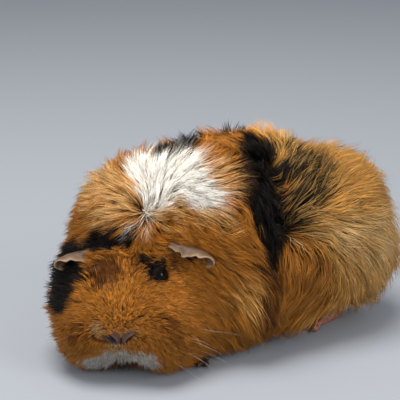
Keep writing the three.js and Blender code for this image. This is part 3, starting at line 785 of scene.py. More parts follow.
for side, (centre, look) in eye_spots.items():
    axis = Vector(look)
    upward = Vector((0, 0, 1)) - axis * axis.z
    upward.normalize()
    sideways = upward.cross(axis)

    def from_eye(polar, around, reach):
        aside = math.sin(polar)
        way = axis * math.cos(polar) + sideways * (aside * math.cos(around)) + upward * (aside * math.sin(around))
        return Vector(centre) + way * reach

    points = []
    for r in range(EYE_ROWS + 1):
        polar = math.pi * r / EYE_ROWS
        reach = EYE_RADIUS + CORNEA_BULGE * max(0, 1 - (polar / 0.85) ** 2)
        points += [from_eye(polar, 2 * math.pi * c / EYE_COLUMNS, reach) for c in range(EYE_COLUMNS)]
    eye = build_mesh("eyeball_" + side, points, grid_faces(EYE_ROWS + 1, EYE_COLUMNS))
    eye.data.materials.append(eye_surface)
    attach(eye, "root")
    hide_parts("eye_" + side)

    points = []
    for c in range(EYE_COLUMNS):
        around = 2 * math.pi * c / EYE_COLUMNS
        wide, high = LID_OPENING
        opening = 1 / math.sqrt((math.cos(around) / wide) ** 2 + (math.sin(around) / high) ** 2)
        start = math.asin(opening / EYE_RADIUS)
        points += [from_eye(start + math.radians(a), around, EYE_RADIUS + h) for a, h in LID_PROFILE]
    ring_faces = grid_faces(EYE_COLUMNS, len(LID_PROFILE))
    ring_faces += [((EYE_COLUMNS - 1) * len(LID_PROFILE) + c, c, (c + 1) % len(LID_PROFILE),
                    (EYE_COLUMNS - 1) * len(LID_PROFILE) + (c + 1) % len(LID_PROFILE)) for c in range(len(LID_PROFILE))]
    lids = build_mesh("lids_" + side, points, ring_faces)
    lids.data.materials.append(lid_surface)
    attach(lids, "root")

# ---- Nose ------------------------------------------------------------------------------------------
# A small moist pad of bare skin, with slanting nostrils and a groove running down to the lip.

NOSE_HALF_WIDTH, NOSE_TOP, NOSE_BOTTOM = 13.5, 6.0, 10.5
NOSE_RINGS, NOSE_SIDES = 34, 96
NOSE_BULGE = 0.5
NOSE_SINK = 0.9  # the rim of the pad lies this far under the tips of the hair


def nostril_at(aside, height):
    """How far a place on the nose is from the nostril's slit, and how far along the slit, inside to outside."""
    reach = np.abs(aside)
    along = np.clip(((reach - 4.4) * 0.82 + (height + 2.6) * 0.57) / 9.0, 0, 1)
    return np.hypot(reach - (4.4 + 7.4 * along), height + 2.6 - 5.4 * along**0.8), along


# Moist leathery skin: brown with a purple cast, pebbled, darkened inside the nostrils and down the groove by
# painted shade, with a painted highlight on the nostrils' upper rims.
nose_surface, tree = new_material("moist_nose_skin")
colour = add_node(tree, "ShaderNodeAttribute", attribute_name="coat_colour")
place = add_node(tree, "ShaderNodeTexCoord")
pebble = add_node(tree, "ShaderNodeTexVoronoi", {"Vector": place.outputs["Object"]}, Scale=1600)
shade = add_node(tree, "ShaderNodeMapRange", {"Value": pebble.outputs["Distance"]}, To_Min=1.1, To_Max=0.75)
tone = add_node(tree, "ShaderNodeVectorMath", {"Vector": colour.outputs["Color"]}, operation="SCALE")
tree.links.new(shade.outputs[0], tone.inputs["Scale"])
bump = add_node(tree, "ShaderNodeBump", {"Height": pebble.outputs["Distance"]}, Strength=0.3, Distance=0.0002)
shader = add_node(tree, "ShaderNodeBsdfPrincipled", {"Base Color": tone.outputs[0], "Normal": bump.outputs[0]},
                  Roughness=0.42)
shader.inputs["Specular IOR Level"].default_value = 0.3
finish_material(tree, shader)

NOSE_SKIN, NOSE_RIM_HIGHLIGHT, NOSTRIL_SHADE, LIP_SKIN = (
    np.array(linear(c)) for c in ("#4E3428", "#76594A", "#060303", "#54483C"))
nose_up = nose_middle[2]
aside, height = [], []
for r in range(NOSE_RINGS + 1):
    share = r / NOSE_RINGS
    for c in range(NOSE_SIDES):
        around = 2 * math.pi * c / NOSE_SIDES
        tall = NOSE_TOP if math.sin(around) > 0 else NOSE_BOTTOM
        narrow = 1 if math.sin(around) > 0 else 1 - 0.72 * abs(math.sin(around)) ** 0.9
        aside.append(share * NOSE_HALF_WIDTH * narrow * math.cos(around))
        height.append(share * tall * math.sin(around))
aside, height = np.array(aside), np.array(height)
starts = on_head(np.stack([aside, np.full(len(aside), 30.0), nose_up + height], 1))
forward_way = head_way([0, 1, 0])
muzzle_front = cast_out(starts, np.tile(forward_way, (len(starts), 1)), lambda p: coat_level(p) + NOSE_SINK)
share = np.repeat(np.arange(NOSE_RINGS + 1) / NOSE_RINGS, NOSE_SIDES)
rise = NOSE_BULGE * np.sqrt(np.clip(1 - share**2, 0, 1)) - 1.2 * smoothstep(0.8, 1.0, share)
from_slit, along_slit = nostril_at(aside, height)
hole = np.exp(-((from_slit / (1.4 - 0.6 * along_slit)) ** 2)) * (1 - 0.45 * along_slit)
# The paler upper rim of each nostril is a painted highlight; the rim is also raised a little.
rim = np.exp(-(((from_slit - 1.9) / 0.7) ** 2)) * (height > 4.6 * along_slit**0.8 - 2.6)
groove = np.exp(-((aside / 0.7) ** 2)) * smoothstep(0.5, -1.5, height)
rise = rise - 1.35 * hole + 0.25 * rim - 0.9 * groove
front = muzzle_front + forward_way * rise[:, None]
back = starts[-NOSE_SIDES:] + forward_way * 6
nose_points = np.concatenate([front, back])
nose_faces = grid_faces(NOSE_RINGS + 2, NOSE_SIDES)
nose_faces.append(tuple(range((NOSE_RINGS + 1) * NOSE_SIDES, (NOSE_RINGS + 2) * NOSE_SIDES)))
nose = build_mesh("nose_pad", nose_points, nose_faces)
fixer = bmesh.new()
fixer.from_mesh(nose.data)
low = smoothstep(-3, -6, height)[:, None]
tint = NOSE_SKIN * (1 - low) + LIP_SKIN * low
# Painted highlight: the upper rims of the nostrils are made paler.
tint = tint * (1 - 0.6 * rim[:, None]) + NOSE_RIM_HIGHLIGHT * 0.6 * rim[:, None]
# Painted shade: the nostrils and the groove down to the lip are darkened towards near-black.
dark = np.clip(hole * 2.2 + groove * 0.8, 0, 1)[:, None]
tint = tint * (1 - dark) + NOSTRIL_SHADE * dark
tint = np.concatenate([tint, np.tile(NOSE_SKIN, (NOSE_SIDES, 1))])
colours = fixer.verts.layers.float_color.new("coat_colour")
for vert, value in zip(fixer.verts, tint.tolist()):
    vert[colours] = (*value, 1)
bmesh.ops.remove_doubles(fixer, verts=fixer.verts, dist=1e-6)
bmesh.ops.recalc_face_normals(fixer, faces=fixer.faces)
fixer.to_mesh(nose.data)
fixer.free()
nose.data.materials.append(nose_surface)
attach(nose, "root")
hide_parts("nose")

# ---- Ears ------------------------------------------------------------------------------------------
# Thin bare petals of skin whose upper edge rolls forward and down like a hood over the dark opening,
# with a pale rim and a hanging lobe at the tip. They grow out of the sides of the crown.

EAR_LENGTH = 28
EAR_THICK, EAR_RIM_THICK = 0.55, 0.28
EAR_ROWS, EAR_COLUMNS = 40, 30
EAR_STATIONS = [0, 0.2, 0.4, 0.55, 0.7, 0.85, 0.95, 1]
EAR_WIDTHS = [11, 15.5, 18, 18.5, 18, 16, 11.5, 4]
EAR_FOLDS = [105, 120, 125, 112, 92, 72, 60, 50]  # how far the hood turns over, in degrees

# Thin skin: flesh pink at the pale rim, finely veined, darkened to red-brown down in the opening by painted shade.
ear_surface, tree = new_material("bare_ear_skin")
colour = add_node(tree, "ShaderNodeAttribute", attribute_name="coat_colour")
place = add_node(tree, "ShaderNodeTexCoord")
vein = add_node(tree, "ShaderNodeTexNoise", {"Vector": place.outputs["Object"]}, Scale=450, Detail=5)
shade = add_node(tree, "ShaderNodeMapRange", {"Value": vein.outputs["Fac"]}, To_Min=0.7, To_Max=1.25)
tone = add_node(tree, "ShaderNodeVectorMath", {"Vector": colour.outputs["Color"]}, operation="SCALE")
tree.links.new(shade.outputs[0], tone.inputs["Scale"])
bump = add_node(tree, "ShaderNodeBump", {"Height": vein.outputs["Fac"]}, Strength=0.4, Distance=0.0004)
shader = add_node(tree, "ShaderNodeBsdfPrincipled", {"Base Color": tone.outputs[0], "Normal": bump.outputs[0]},
                  Roughness=0.5)
finish_material(tree, shader)

EAR_RIM, EAR_SKIN, EAR_OPENING_SHADE = (np.array(linear(c)) for c in ("#A0866C", "#5A4432", "#1C0A07"))
for side, sign in (("left", 1), ("right", -1)):
    outward_way = head_way([sign * 0.62, 0.43, 0.65])
    root = cast_out(on_head([0, -4, 50])[None], outward_way[None], coat_level)[0]
    root = root + head_way([sign, 0, 0]) * 1.5 - outward_way * 6.5 - np.array([0, 0, 1.5])
    along = head_way([sign * 0.84, 0.45, -0.10])
    faces_way = head_way([sign * 0.10, 0.86, -0.42])
    across = unit(np.cross(along, faces_way))  # towards the upper edge
    across = across * math.copysign(1, across[2])
    faces_way = unit(faces_way - faces_way.dot(along) * along)
    middle = np.empty((EAR_ROWS, EAR_COLUMNS, 3))
    tint = np.empty((EAR_ROWS, EAR_COLUMNS, 3))
    for r in range(EAR_ROWS):
        s = r / (EAR_ROWS - 1)
        wide = np.interp(s, EAR_STATIONS, EAR_WIDTHS)
        fold = math.radians(np.interp(s, EAR_STATIONS, EAR_FOLDS))
        spot = root + along * EAR_LENGTH * s - across * wide * 0.45 + np.array([0, 0, 1.5 - 3.5 * s**3])
        for c in range(EAR_COLUMNS):
            t = c / (EAR_COLUMNS - 1)
            if c:
                bend = fold * smoothstep(0.2, 1.0, t) - math.radians(35) * (1 - t) ** 2
                spot = spot + (across * math.cos(bend) + faces_way * math.sin(bend)) * wide / (EAR_COLUMNS - 1)
            ripple = (0.7 * math.sin(s * 17) + 0.5 * math.sin(s * 31 + 1)) * (t**4 + (1 - t) ** 4)
            middle[r, c] = spot + faces_way * ripple
            rim = max(abs(2 * t - 1) ** 9, smoothstep(0.93, 1.0, s))
            # Painted shade: the skin darkens towards the opening near the ear's root.
            opening_shade = (1 - smoothstep(0.45, 0.85, s)) * math.exp(-((t - 0.40) / 0.30) ** 2)
            tint[r, c] = EAR_SKIN * (1 - opening_shade) + EAR_OPENING_SHADE * opening_shade
            tint[r, c] = tint[r, c] * (1 - rim) + EAR_RIM * rim
    d_row = np.gradient(middle, axis=0)
    d_col = np.gradient(middle, axis=1)
    out = unit(np.cross(d_row, d_col))
    rim_share = np.abs(np.linspace(-1, 1, EAR_COLUMNS))[None, :] ** 6 * np.ones((EAR_ROWS, 1))
    half_thick = (EAR_THICK * (1 - rim_share) + EAR_RIM_THICK * rim_share)[..., None]
    front, back = middle + out * half_thick, middle - out * half_thick
    count_points = EAR_ROWS * EAR_COLUMNS
    sheet = grid_faces(EAR_ROWS, EAR_COLUMNS, wrap=False)
    ear_faces = [tuple(reversed(f)) for f in sheet] + [tuple(i + count_points for i in f) for f in sheet]
    border = [c for c in range(EAR_COLUMNS)]
    border += [r * EAR_COLUMNS + EAR_COLUMNS - 1 for r in range(1, EAR_ROWS)]
    border += [(EAR_ROWS - 1) * EAR_COLUMNS + c for c in range(EAR_COLUMNS - 2, -1, -1)]
    border += [r * EAR_COLUMNS for r in range(EAR_ROWS - 2, 0, -1)]
    for i, point_a in enumerate(border):
        point_b = border[(i + 1) % len(border)]
        ear_faces.append((point_a, point_a + count_points, point_b + count_points, point_b))
    ear = build_mesh("ear_petal_" + side, np.concatenate([front.reshape(-1, 3), back.reshape(-1, 3)]), ear_faces)
    fixer = bmesh.new()
    fixer.from_mesh(ear.data)
    bmesh.ops.recalc_face_normals(fixer, faces=fixer.faces)
    fixer.to_mesh(ear.data)
    fixer.free()
    layer = ear.data.color_attributes.new("coat_colour", "FLOAT_COLOR", "POINT")
    rgba = np.concatenate([np.tile(tint.reshape(-1, 3), (2, 1)), np.ones((2 * count_points, 1))], 1)
    layer.data.foreach_set("color", rgba.astype(np.float32).ravel())
    ear.data.materials.append(ear_surface)
    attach(ear, "root")
    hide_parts("ear_" + side)

# ---- Coat ------------------------------------------------------------------------------------------
# Silky hair in locks, each strand a thin tapered spike rooted in the skin. It runs out of whorls on the
# nape and both hips, stands up where two runs meet, and is short and close on the face.

randoms = np.random.default_rng(7)
STRAND_LEVELS = 3


def level_normal(points):
    step = 0.5
    slope = np.stack([coat_level(points + step * axis) - coat_level(points - step * axis) for axis in np.eye(3)], 1)
    return slope / np.linalg.norm(slope, axis=1, keepdims=True)


def strands(name, paths, normals, widths, taper):
    """A mesh of thin closed spikes along paths, three-sided, each ending in a point.

    Returns it with the points of its strands, and the corners of its triangles in a strand."""
    count, levels = paths.shape[:2]
    ways = unit(np.diff(paths, axis=1))
    ways = np.concatenate([ways, ways[:, -1:]], 1)[:, :-1]
    side = unit(np.cross(ways, normals[:, None]))
    above = np.cross(side, ways)
    corners = []
    for k in range(3):
        angle = 2 * math.pi * k / 3 + math.pi / 2
        reach = (widths[:, None] * np.asarray(taper)[None, :])[..., None] / 2
        corners.append(paths[:, :-1] + reach * (math.cos(angle) * side + 0.7 * math.sin(angle) * above))
    rings = np.stack(corners, 2)  # count, levels - 1, 3 corners
    points = np.concatenate([rings.reshape(count, -1, 3), paths[:, -1:]], 1)
    faces = [(2, 1, 0)]
    for level in range(levels - 2):
        for k in range(3):
            a, b = level * 3 + k, level * 3 + (k + 1) % 3
            faces += [(a, b, b + 3), (a, b + 3, a + 3)]
    last = (levels - 2) * 3
    faces += [(last + k, last + (k + 1) % 3, last + 3) for k in range(3)]
    per = points.shape[1]
    all_faces = (np.array(faces)[None] + (np.arange(count) * per)[:, None, None]).reshape(-1, 3)
    return build_mesh(name, points.reshape(-1, 3), all_faces), per, np.array(faces)


# Piece: first and last ring and side of the skin that it grows on, as shares.
COAT_PIECES = {
    "coat_seat": (0.0, 0.12, 0.0, 1.0),
    "coat_rump_left": (0.12, 0.30, 0.5, 1.0),
    "coat_rump_right": (0.12, 0.30, 0.0, 0.5),
    "coat_flank_left": (0.30, 0.42, 0.5, 1.0),
    "coat_flank_right": (0.30, 0.42, 0.0, 0.5),
    "coat_shoulder_left": (0.42, 0.54, 0.5, 1.0),
    "coat_shoulder_right": (0.42, 0.54, 0.0, 0.5),
    "coat_neck_left": (0.54, 0.64, 0.5, 1.0),
    "coat_nape_right": (0.54, 0.59, 0.0, 0.5),
    "coat_neck_right": (0.59, 0.64, 0.0, 0.5),
    "coat_cheek_left": (0.64, 0.76, 0.5, 1.0),
    "coat_cheek_right": (0.64, 0.76, 0.0, 0.5),
    "coat_face_left": (0.76, 0.88, 0.5, 1.0),
    "coat_face_right": (0.76, 0.88, 0.0, 0.5),
    "coat_muzzle": (0.88, 1.0, 0.0, 1.0),
}

# Hair: smooth cuticle over pigment, so a soft long highlight and light passing from hair to hair.
hair_surface, tree = new_material("guinea_pig_hair")
colour = add_node(tree, "ShaderNodeAttribute", attribute_name="coat_colour")
place = add_node(tree, "ShaderNodeTexCoord")
streak = add_node(tree, "ShaderNodeTexNoise", {"Vector": place.outputs["Object"]}, Scale=700, Detail=2)
shade = add_node(tree, "ShaderNodeMapRange", {"Value": streak.outputs["Fac"]}, To_Min=0.8, To_Max=1.2)
tone = add_node(tree, "ShaderNodeVectorMath", {"Vector": colour.outputs["Color"]}, operation="SCALE")
tree.links.new(shade.outputs[0], tone.inputs["Scale"])
gloss = add_node(tree, "ShaderNodeMapRange", {"Value": streak.outputs["Fac"]}, To_Min=0.4, To_Max=0.6)
shader = add_node(tree, "ShaderNodeBsdfPrincipled", {"Base Color": tone.outputs[0], "Roughness": gloss.outputs[0]})
shader.inputs["Specular IOR Level"].default_value = 0.15
finish_material(tree, shader)

# The roots: places on the skin, as many to the square centimetre as the coat is dense there.
corner_a, corner_c = skin_grid[:-1], skin_grid[1:]
edge_ring = corner_c - corner_a
edge_side = np.roll(corner_a, -1, 1) - corner_a
cell_area = np.linalg.norm(np.cross(edge_ring, edge_side), axis=2)
cell_middle = corner_a + (edge_ring + edge_side) / 2
cell_coat = coat_at(cell_middle.reshape(-1, 3))
cell_count = cell_area.ravel() / 100 * cell_coat[:, 3]
seeds = randoms.poisson(cell_count)
cell = np.repeat(np.arange(len(seeds)), seeds)
ring = cell // SIDES + randoms.random(len(cell))
turn = cell % SIDES + randoms.random(len(cell))


def on_grid(grid, ring, turn):
    """A value of the skin's grid between its points."""
    r = np.minimum(ring.astype(int), RINGS - 1)
    t = turn.astype(int) % SIDES
    fr, ft = (ring - r)[:, None], (turn - turn.astype(int))[:, None]
    near = grid[r, t] * (1 - ft) + grid[r, (t + 1) % SIDES] * ft
    far = grid[r + 1, t] * (1 - ft) + grid[r + 1, (t + 1) % SIDES] * ft
    return near * (1 - fr) + far * fr


roots = on_grid(skin_grid, ring, turn)
root_normals = unit(on_grid(skin_normals, ring, turn))

# Nothing grows on the eyes, in the nose or under the feet.
bare = roots[:, 2] < 1
for eye_middle, look in eye_spots.values():
    bare |= np.linalg.norm(roots - eye_middle, axis=1) < EYE_RADIUS - 0.3
on_nose = (roots - nose_middle) @ head_turn
from_slit, along_slit = nostril_at(on_nose[:, 0], on_nose[:, 2])
near_nose = on_nose[:, 1] > 0
bare |= near_nose & (from_slit < 1.9 - 0.5 * along_slit)
bare |= near_nose & (np.abs(on_nose[:, 0]) < 3.8) & (np.abs(on_nose[:, 2] + 1.0) < 2.2)
bare |= near_nose & (np.abs(on_nose[:, 0]) < 1.3) & (on_nose[:, 2] < 0) & (on_nose[:, 2] > -10)
ring, turn, roots, root_normals = ring[~bare], turn[~bare], roots[~bare], root_normals[~bare]

count = len(roots)
coat = coat_at(roots)
length = coat[:, 1] * randoms.normal(1, 0.14, count).clip(0.6, 1.4)
lift = np.radians(coat[:, 2])
width = coat[:, 4] * randoms.uniform(0.8, 1.2, count)
way, agree = lie_at(roots, root_normals)
# Broad streams of hair, about a centimetre apart, that part and cross a little.
streams = roots[randoms.random(count) < 0.008]
tree_of_streams = KDTree(len(streams))
for number, spot in enumerate(streams.tolist()):
    tree_of_streams.insert(spot, number)
tree_of_streams.balance()
stream = np.array([tree_of_streams.find(root)[1] for root in roots.tolist()])
long_hair = np.interp(coat[:, 1], [8, 25], [0.4, 1])
swing = randoms.normal(0, 0.13, count) + randoms.normal(0, 0.14, len(streams))[stream] * long_hair
length *= 1 + randoms.normal(0, 0.10, len(streams))[stream] * long_hair
stray = randoms.random(count) < 0.13
swing[stray] *= 2.2
length[stray] *= 1.3
width[stray] *= 0.6
lift = lift + np.radians(35) * (1 - agree) + randoms.normal(0, 0.07, count) + 0.15 * stray
lift += randoms.normal(0, 0.10, len(streams))[stream] * long_hair
fly_away = randoms.exponential(2.4, count) + stray * 13 * randoms.random(count) ** 1.4
fly_away = np.minimum(fly_away, np.interp(roots[:, 2], [90, 112], [9.5, 9])) * np.interp(coat[:, 1], [5, 25], [0.3, 1])
fly_away -= 0.5
relief = relief_at(roots)
paths = np.empty((count, STRAND_LEVELS + 1, 3))
paths[:, 0] = roots - root_normals * 0.4
point = roots.copy()
normal = root_normals
for k in range(STRAND_LEVELS):
    share = (k + 0.5) / STRAND_LEVELS
    if k:
        normal = level_normal(point)
        way, agree = lie_at(point, normal)
    across = np.cross(normal, way)
    turned_way = np.cos(swing)[:, None] * way + np.sin(swing)[:, None] * across
    rise = lift * (1.45 - 1.0 * share)
    step = np.cos(rise)[:, None] * turned_way + np.sin(rise)[:, None] * normal
    step[:, 2] -= 0.10 * share
    point = point + unit(step) * (length / STRAND_LEVELS)[:, None]
    # The coat fills its own outline: what would stand further out is laid down.
    reached = (k + 1) / STRAND_LEVELS
    limit = (fly_away + coat[:, 0]) * reached**0.7 - coat[:, 0] + relief
    excess = np.maximum(coat_level(point) - limit, 0)
    point = point - normal * excess[:, None]
    point[:, 2] = np.maximum(point[:, 2], 0.8 + 0.5 * share)
    paths[:, k + 1] = point

# Strands gather towards the tip of the lock that they grow in.
lock_share = 0.09
leaders = np.flatnonzero(randoms.random(count) < lock_share)
tree_of_locks = KDTree(len(leaders))
for number, index in enumerate(leaders):
    tree_of_locks.insert(roots[index], number)
tree_of_locks.balance()
lock = np.array([tree_of_locks.find(root)[1] for root in roots.tolist()])
leader_paths = paths[leaders][lock]
offset = roots - roots[leaders][lock]
gather = np.interp(coat[:, 1], [4, 20], [0.35, 0.8]) * randoms.uniform(0.6, 1.0, count)
for k in range(1, STRAND_LEVELS + 1):
    share = k / STRAND_LEVELS
    pulled = leader_paths[:, k] + offset * (1 - 0.7 * share)
    weight = (gather * share**0.8)[:, None]
    paths[:, k] = paths[:, k] * (1 - weight) + pulled * weight

# The colour is that of the marking near the strand's tip, so edges break up into tips.
waver = randoms.normal(0, 0.9, count) + randoms.normal(0, 0.8, len(leaders))[lock]
roll = 0.8 * randoms.random(count) + 0.2 * randoms.random(len(leaders))[lock]
root_kind = marking_at(over_coat(paths[:, 1], root_normals), waver, roll)
kind = marking_at(over_coat(paths[:, 2] * 0.6 + paths[:, 3] * 0.4, normal), waver, roll)
tone = 1 + colour_spread[kind] * (0.6 * randoms.normal(0, 1, len(leaders))[lock] + 0.6 * randoms.normal(0, 1, count))
tone = tone.clip(0.45, 1.6)[:, None]
root_tint, tip_tint = root_colours[root_kind] * tone, tip_colours[kind] * tone
pale = (pale_share[kind] * randoms.random(count) ** 3)[:, None]
tip_tint = tip_tint * (1 - pale) + np.array(PALE_TIP) * pale

TAPER = (0.8, 1.0, 0.7)
SHORT_TAPER = (0.8, 0.9)
for name, (ring_low, ring_high, turn_low, turn_high) in COAT_PIECES.items():
    here = (ring >= ring_low * RINGS) & (ring < ring_high * RINGS + (ring_high == 1))
    here &= (turn >= turn_low * SIDES) & (turn < turn_high * SIDES)
    short = ring_low >= 0.64
    own_paths = paths[here][:, [0, 2, 3]] if short else paths[here]
    own_levels = own_paths.shape[1] - 1
    piece, per, faces = strands(name, own_paths, root_normals[here], width[here], SHORT_TAPER if short else TAPER)
    level = np.append(np.repeat(np.arange(own_levels), 3), own_levels) / own_levels
    # Each strand runs from root colour to tip colour; the darker root end is partly painted shade inside the coat.
    blend = (level**0.8)[None, :, None]
    tint = root_tint[here][:, None] * (1 - blend) + tip_tint[here][:, None] * blend
    rgba = np.concatenate([tint, np.ones(tint.shape[:2] + (1,))], 2).astype(np.float32)
    layer = piece.data.color_attributes.new("coat_colour", "FLOAT_COLOR", "POINT")
    layer.data.foreach_set("color", rgba.ravel())
    patch = 0.003
    corner_uv = np.stack([np.append(np.tile([0, 0.5, 1], own_levels), 0.5), level], 1) * patch
    place = np.stack([turn[here] / SIDES, ring[here] / RINGS], 1) * (1 - patch)
    uv = (place[:, None] + corner_uv[None])[:, faces.ravel()].astype(np.float32)
    piece.data.uv_layers.new(name="OFBake").data.foreach_set("uv", uv.ravel())
    piece.data.materials.append(hair_surface)
    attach(piece, "root")

# ---- Whiskers --------------------------------------------------------------------------------------
# Stiff white bristles in rows on both whisker pads, thickest where they are rooted.

WHISKER_WIDTH = 0.2
WHISKER_LEVELS = 8
WHISKER_ROWS = [(16, 42, 30, 26), (19, 38, 27, 30), (20, 36, 22, 32), (17, 40, 18, 24)]  # left, forward, up; length

# Bristle: clear horn without pigment, shinier than the coat.
whisker_surface, tree = new_material("white_bristle")
place = add_node(tree, "ShaderNodeTexCoord")
band = add_node(tree, "ShaderNodeTexNoise", {"Vector": place.outputs["Object"]}, Scale=1 / (2 * MM))
ramp = add_node(tree, "ShaderNodeValToRGB", {"Fac": band.outputs["Fac"]})
ramp.color_ramp.elements[0].color = (*linear("#A89C8C"), 1)
ramp.color_ramp.elements[1].color = (*linear("#F4F0E8"), 1)
shader = add_node(tree, "ShaderNodeBsdfPrincipled", {"Base Color": ramp.outputs[0]}, Roughness=0.35)
finish_material(tree, shader)

whisker_roots, whisker_ways, whisker_lengths = [], [], []
for side in (1, -1):
    for left, ahead, up, long in WHISKER_ROWS:
        for column in range(3):
            spot = on_head([side * (left + 3.5 * column), ahead - 4.5 * column, up + randoms.normal(0, 0.8)])
            whisker_roots.append(spot)
            whisker_ways.append(head_way([side * 0.9, -0.1 - 0.25 * column + randoms.normal(0, 0.12),
                                          0.02 * (up - 36) + randoms.normal(0, 0.12)]))
            whisker_lengths.append(long * randoms.uniform(0.6, 0.9) * (1 if side == 1 else 0.7))
whisker_roots, whisker_ways = np.array(whisker_roots), np.array(whisker_ways)
whisker_roots = cast_out(whisker_roots - whisker_ways * 14, whisker_ways, lambda p: coat_level(p) + 3)
share = np.linspace(0, 1, WHISKER_LEVELS)
whisker_paths = whisker_roots[:, None] + (
    whisker_ways[:, None] * share[:, None] + np.array([0, 0, -0.22]) * share[:, None] ** 2
) * np.array(whisker_lengths)[:, None, None]
whisker_paths[..., 2] = np.maximum(whisker_paths[..., 2], 1)
whiskers, _, _ = strands("whiskers", whisker_paths, np.tile([0, 0, 1.0], (len(whisker_roots), 1)),
                         np.full(len(whisker_roots), WHISKER_WIDTH), np.linspace(1, 0.35, WHISKER_LEVELS - 1))
whiskers.data.materials.append(whisker_surface)
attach(whiskers, "root")

# ---- Feet and claws --------------------------------------------------------------------------------
# Bare-soled paws, four toes in front and three behind, flat on the floor. Each toe ends in a claw of
# horn that grows out of its tip.

FORE_FOOT = {"sole": (6.5, 9, 6), "radius": 2.0, "length": 7, "fan": (-30, -10, 10, 30), "start": 4}
HIND_FOOT = {"sole": (7, 18, 7), "radius": 2.4, "length": 9, "fan": (-16, 0, 16), "start": 12}
FEET = [("forefoot_left", FORE_FOOT, (10, -34), 30), ("forefoot_right", FORE_FOOT, (-42, -50), 20),
        ("hindfoot_left", HIND_FOOT, (19, 66), 8), ("hindfoot_right", HIND_FOOT, (-34, 64), -6)]
PAW_VOXEL = 0.5 * MM

paw_surfaces = {}
for kind_name, base, crease_colour in (("dark", "#3C2624", "#1A0F0E"), ("pink", "#A9705F", "#6E3F36")):
    # Bare paw skin, folded into fine wrinkles and calloused below.
    paw_surfaces[kind_name], tree = new_material("bare_paw_skin_" + kind_name)
    place = add_node(tree, "ShaderNodeTexCoord")
    wrinkle = add_node(tree, "ShaderNodeTexNoise", {"Vector": place.outputs["Object"]}, Scale=700, Detail=5)
    ramp = add_node(tree, "ShaderNodeValToRGB", {"Fac": wrinkle.outputs["Fac"]})
    ramp.color_ramp.elements[0].position = 0.35
    ramp.color_ramp.elements[0].color = (*linear(crease_colour), 1)
    ramp.color_ramp.elements[1].position = 0.6
    ramp.color_ramp.elements[1].color = (*linear(base), 1)
    bump = add_node(tree, "ShaderNodeBump", {"Height": wrinkle.outputs["Fac"]}, Strength=0.7, Distance=0.0004)
    shader = add_node(tree, "ShaderNodeBsdfPrincipled", {"Base Color": ramp.outputs[0], "Normal": bump.outputs[0]},
                      Roughness=0.55)
    finish_material(tree, shader)

# Claw horn: translucent brown, darker at the root, ridged along its length.
horn, tree = new_material("claw_horn")
place = add_node(tree, "ShaderNodeTexCoord")
ridge = add_node(tree, "ShaderNodeTexNoise", {"Vector": place.outputs["Object"]}, Scale=1200, Detail=4)
ramp = add_node(tree, "ShaderNodeValToRGB", {"Fac": ridge.outputs["Fac"]})
ramp.color_ramp.elements[0].color = (*linear("#3A2A22"), 1)
ramp.color_ramp.elements[1].color = (*linear("#8A7060"), 1)
bump = add_node(tree, "ShaderNodeBump", {"Height": ridge.outputs["Fac"]}, Strength=0.2, Distance=0.0002)
shader = add_node(tree, "ShaderNodeBsdfPrincipled", {"Base Color": ramp.outputs[0], "Normal": bump.outputs[0]},
                  Roughness=0.35)
finish_material(tree, shader)


def ball(shape, middle, half, turn_to):
    """Adds an egg of the given half-lengths to a bmesh."""
    made = bmesh.ops.create_uvsphere(shape, u_segments=20, v_segments=12, radius=1)["verts"]
    for vert in made:
        local = Vector((vert.co.x * half[0], vert.co.y * half[1], vert.co.z * half[2])) + Vector(middle)
        vert.co = turn_to(local) * MM


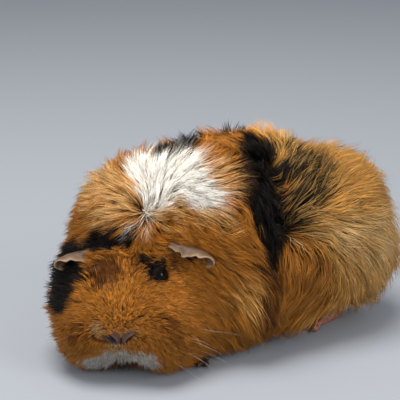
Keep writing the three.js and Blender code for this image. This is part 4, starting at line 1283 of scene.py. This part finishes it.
for foot_name, kind_of_foot, (foot_x, foot_y), foot_yaw in FEET:
    def placed(local, spread=0.0):
        """A point of the foot, which points along -Y, put in its place."""
        angle = math.radians(foot_yaw + spread)
        cx, sx = math.cos(angle), math.sin(angle)
        at = Vector((foot_x, foot_y, 0)) + Vector(TO_MIDDLE)
        return Vector((local.x * cx - local.y * sx, local.x * sx + local.y * cx, local.z)) + at

    def toe_point(local, spread):
        """A point of a toe, which starts in front of the foot's middle and is fanned out."""
        moved = Vector((local.x, local.y - kind_of_foot["start"], local.z))
        return placed(moved, spread)

    shape = bmesh.new()
    sole = kind_of_foot["sole"]
    ball(shape, (0, 0, sole[2] * 0.5), (sole[0] * 0.95, sole[1], sole[2] * 0.8), placed)
    ball(shape, (0, sole[1] * 0.35, sole[2] * 1.0), (sole[0] * 0.9, sole[1] * 0.7, sole[2]), placed)
    radius, reach = kind_of_foot["radius"], kind_of_foot["length"]
    for spread in kind_of_foot["fan"]:
        for along_share, z, thick in ((0, 1.5, 1.05), (0.25, 1.55, 0.95), (0.5, 1.45, 0.92), (0.75, 1.15, 0.88), (1.0, 0.95, 0.95)):
            ball(shape, (0, -reach * along_share, radius * z), (radius * thick, radius * 1.5, radius * thick),
                 lambda p, spread=spread: toe_point(p, spread))
    for vert in shape.verts:
        vert.co.z = max(vert.co.z, 0)
    raw = bpy.data.meshes.new(foot_name + "_raw")
    shape.to_mesh(raw)
    shape.free()
    paw = bpy.data.objects.new("paw_" + foot_name, raw)
    bpy.context.collection.objects.link(paw)
    remesh = paw.modifiers.new("one_skin", "REMESH")
    remesh.mode = "VOXEL"
    remesh.voxel_size = PAW_VOXEL
    smooth = paw.modifiers.new("soften", "SMOOTH")
    smooth.factor, smooth.iterations = 0.5, 4
    made = bpy.data.meshes.new_from_object(paw.evaluated_get(bpy.context.evaluated_depsgraph_get()))
    paw.modifiers.clear()
    paw.data = made
    made.polygons.foreach_set("use_smooth", [True] * len(made.polygons))
    for vert in made.vertices:
        vert.co.z = max(vert.co.z, 0)
    paw.data.materials.clear()
    paw.data.materials.append(paw_surfaces["dark" if foot_name.startswith("fore") else "pink"])
    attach(paw, "root")
    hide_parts(foot_name)

    for number, spread in enumerate(kind_of_foot["fan"], 1):
        points = []
        claw_rows, claw_sides = 14, 12
        for r in range(claw_rows + 1):
            s = r / claw_rows
            thick = 1.15 * (1 - s**1.6) + 0.05
            y = -(reach + radius - 3.2 + 7 * s)
            z = radius * 1.05 + 0.9 * s - 2.3 * s * s
            for c in range(claw_sides):
                around = 2 * math.pi * c / claw_sides
                local = Vector((0.75 * thick * math.cos(around), y, max(z + thick * math.sin(around), 0.05)))
                points.append(toe_point(local, spread))
        claw_faces = grid_faces(claw_rows + 1, claw_sides)
        claw_faces += [tuple(range(claw_sides)), tuple(range(claw_rows * claw_sides, (claw_rows + 1) * claw_sides))]
        claw = build_mesh(f"nail_{foot_name}_{number}", points, claw_faces)
        fixer = bmesh.new()
        fixer.from_mesh(claw.data)
        bmesh.ops.recalc_face_normals(fixer, faces=fixer.faces)
        fixer.to_mesh(claw.data)
        fixer.free()
        claw.data.materials.append(horn)
        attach(claw, "root")
        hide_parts(f"claw_{foot_name}_{number}")
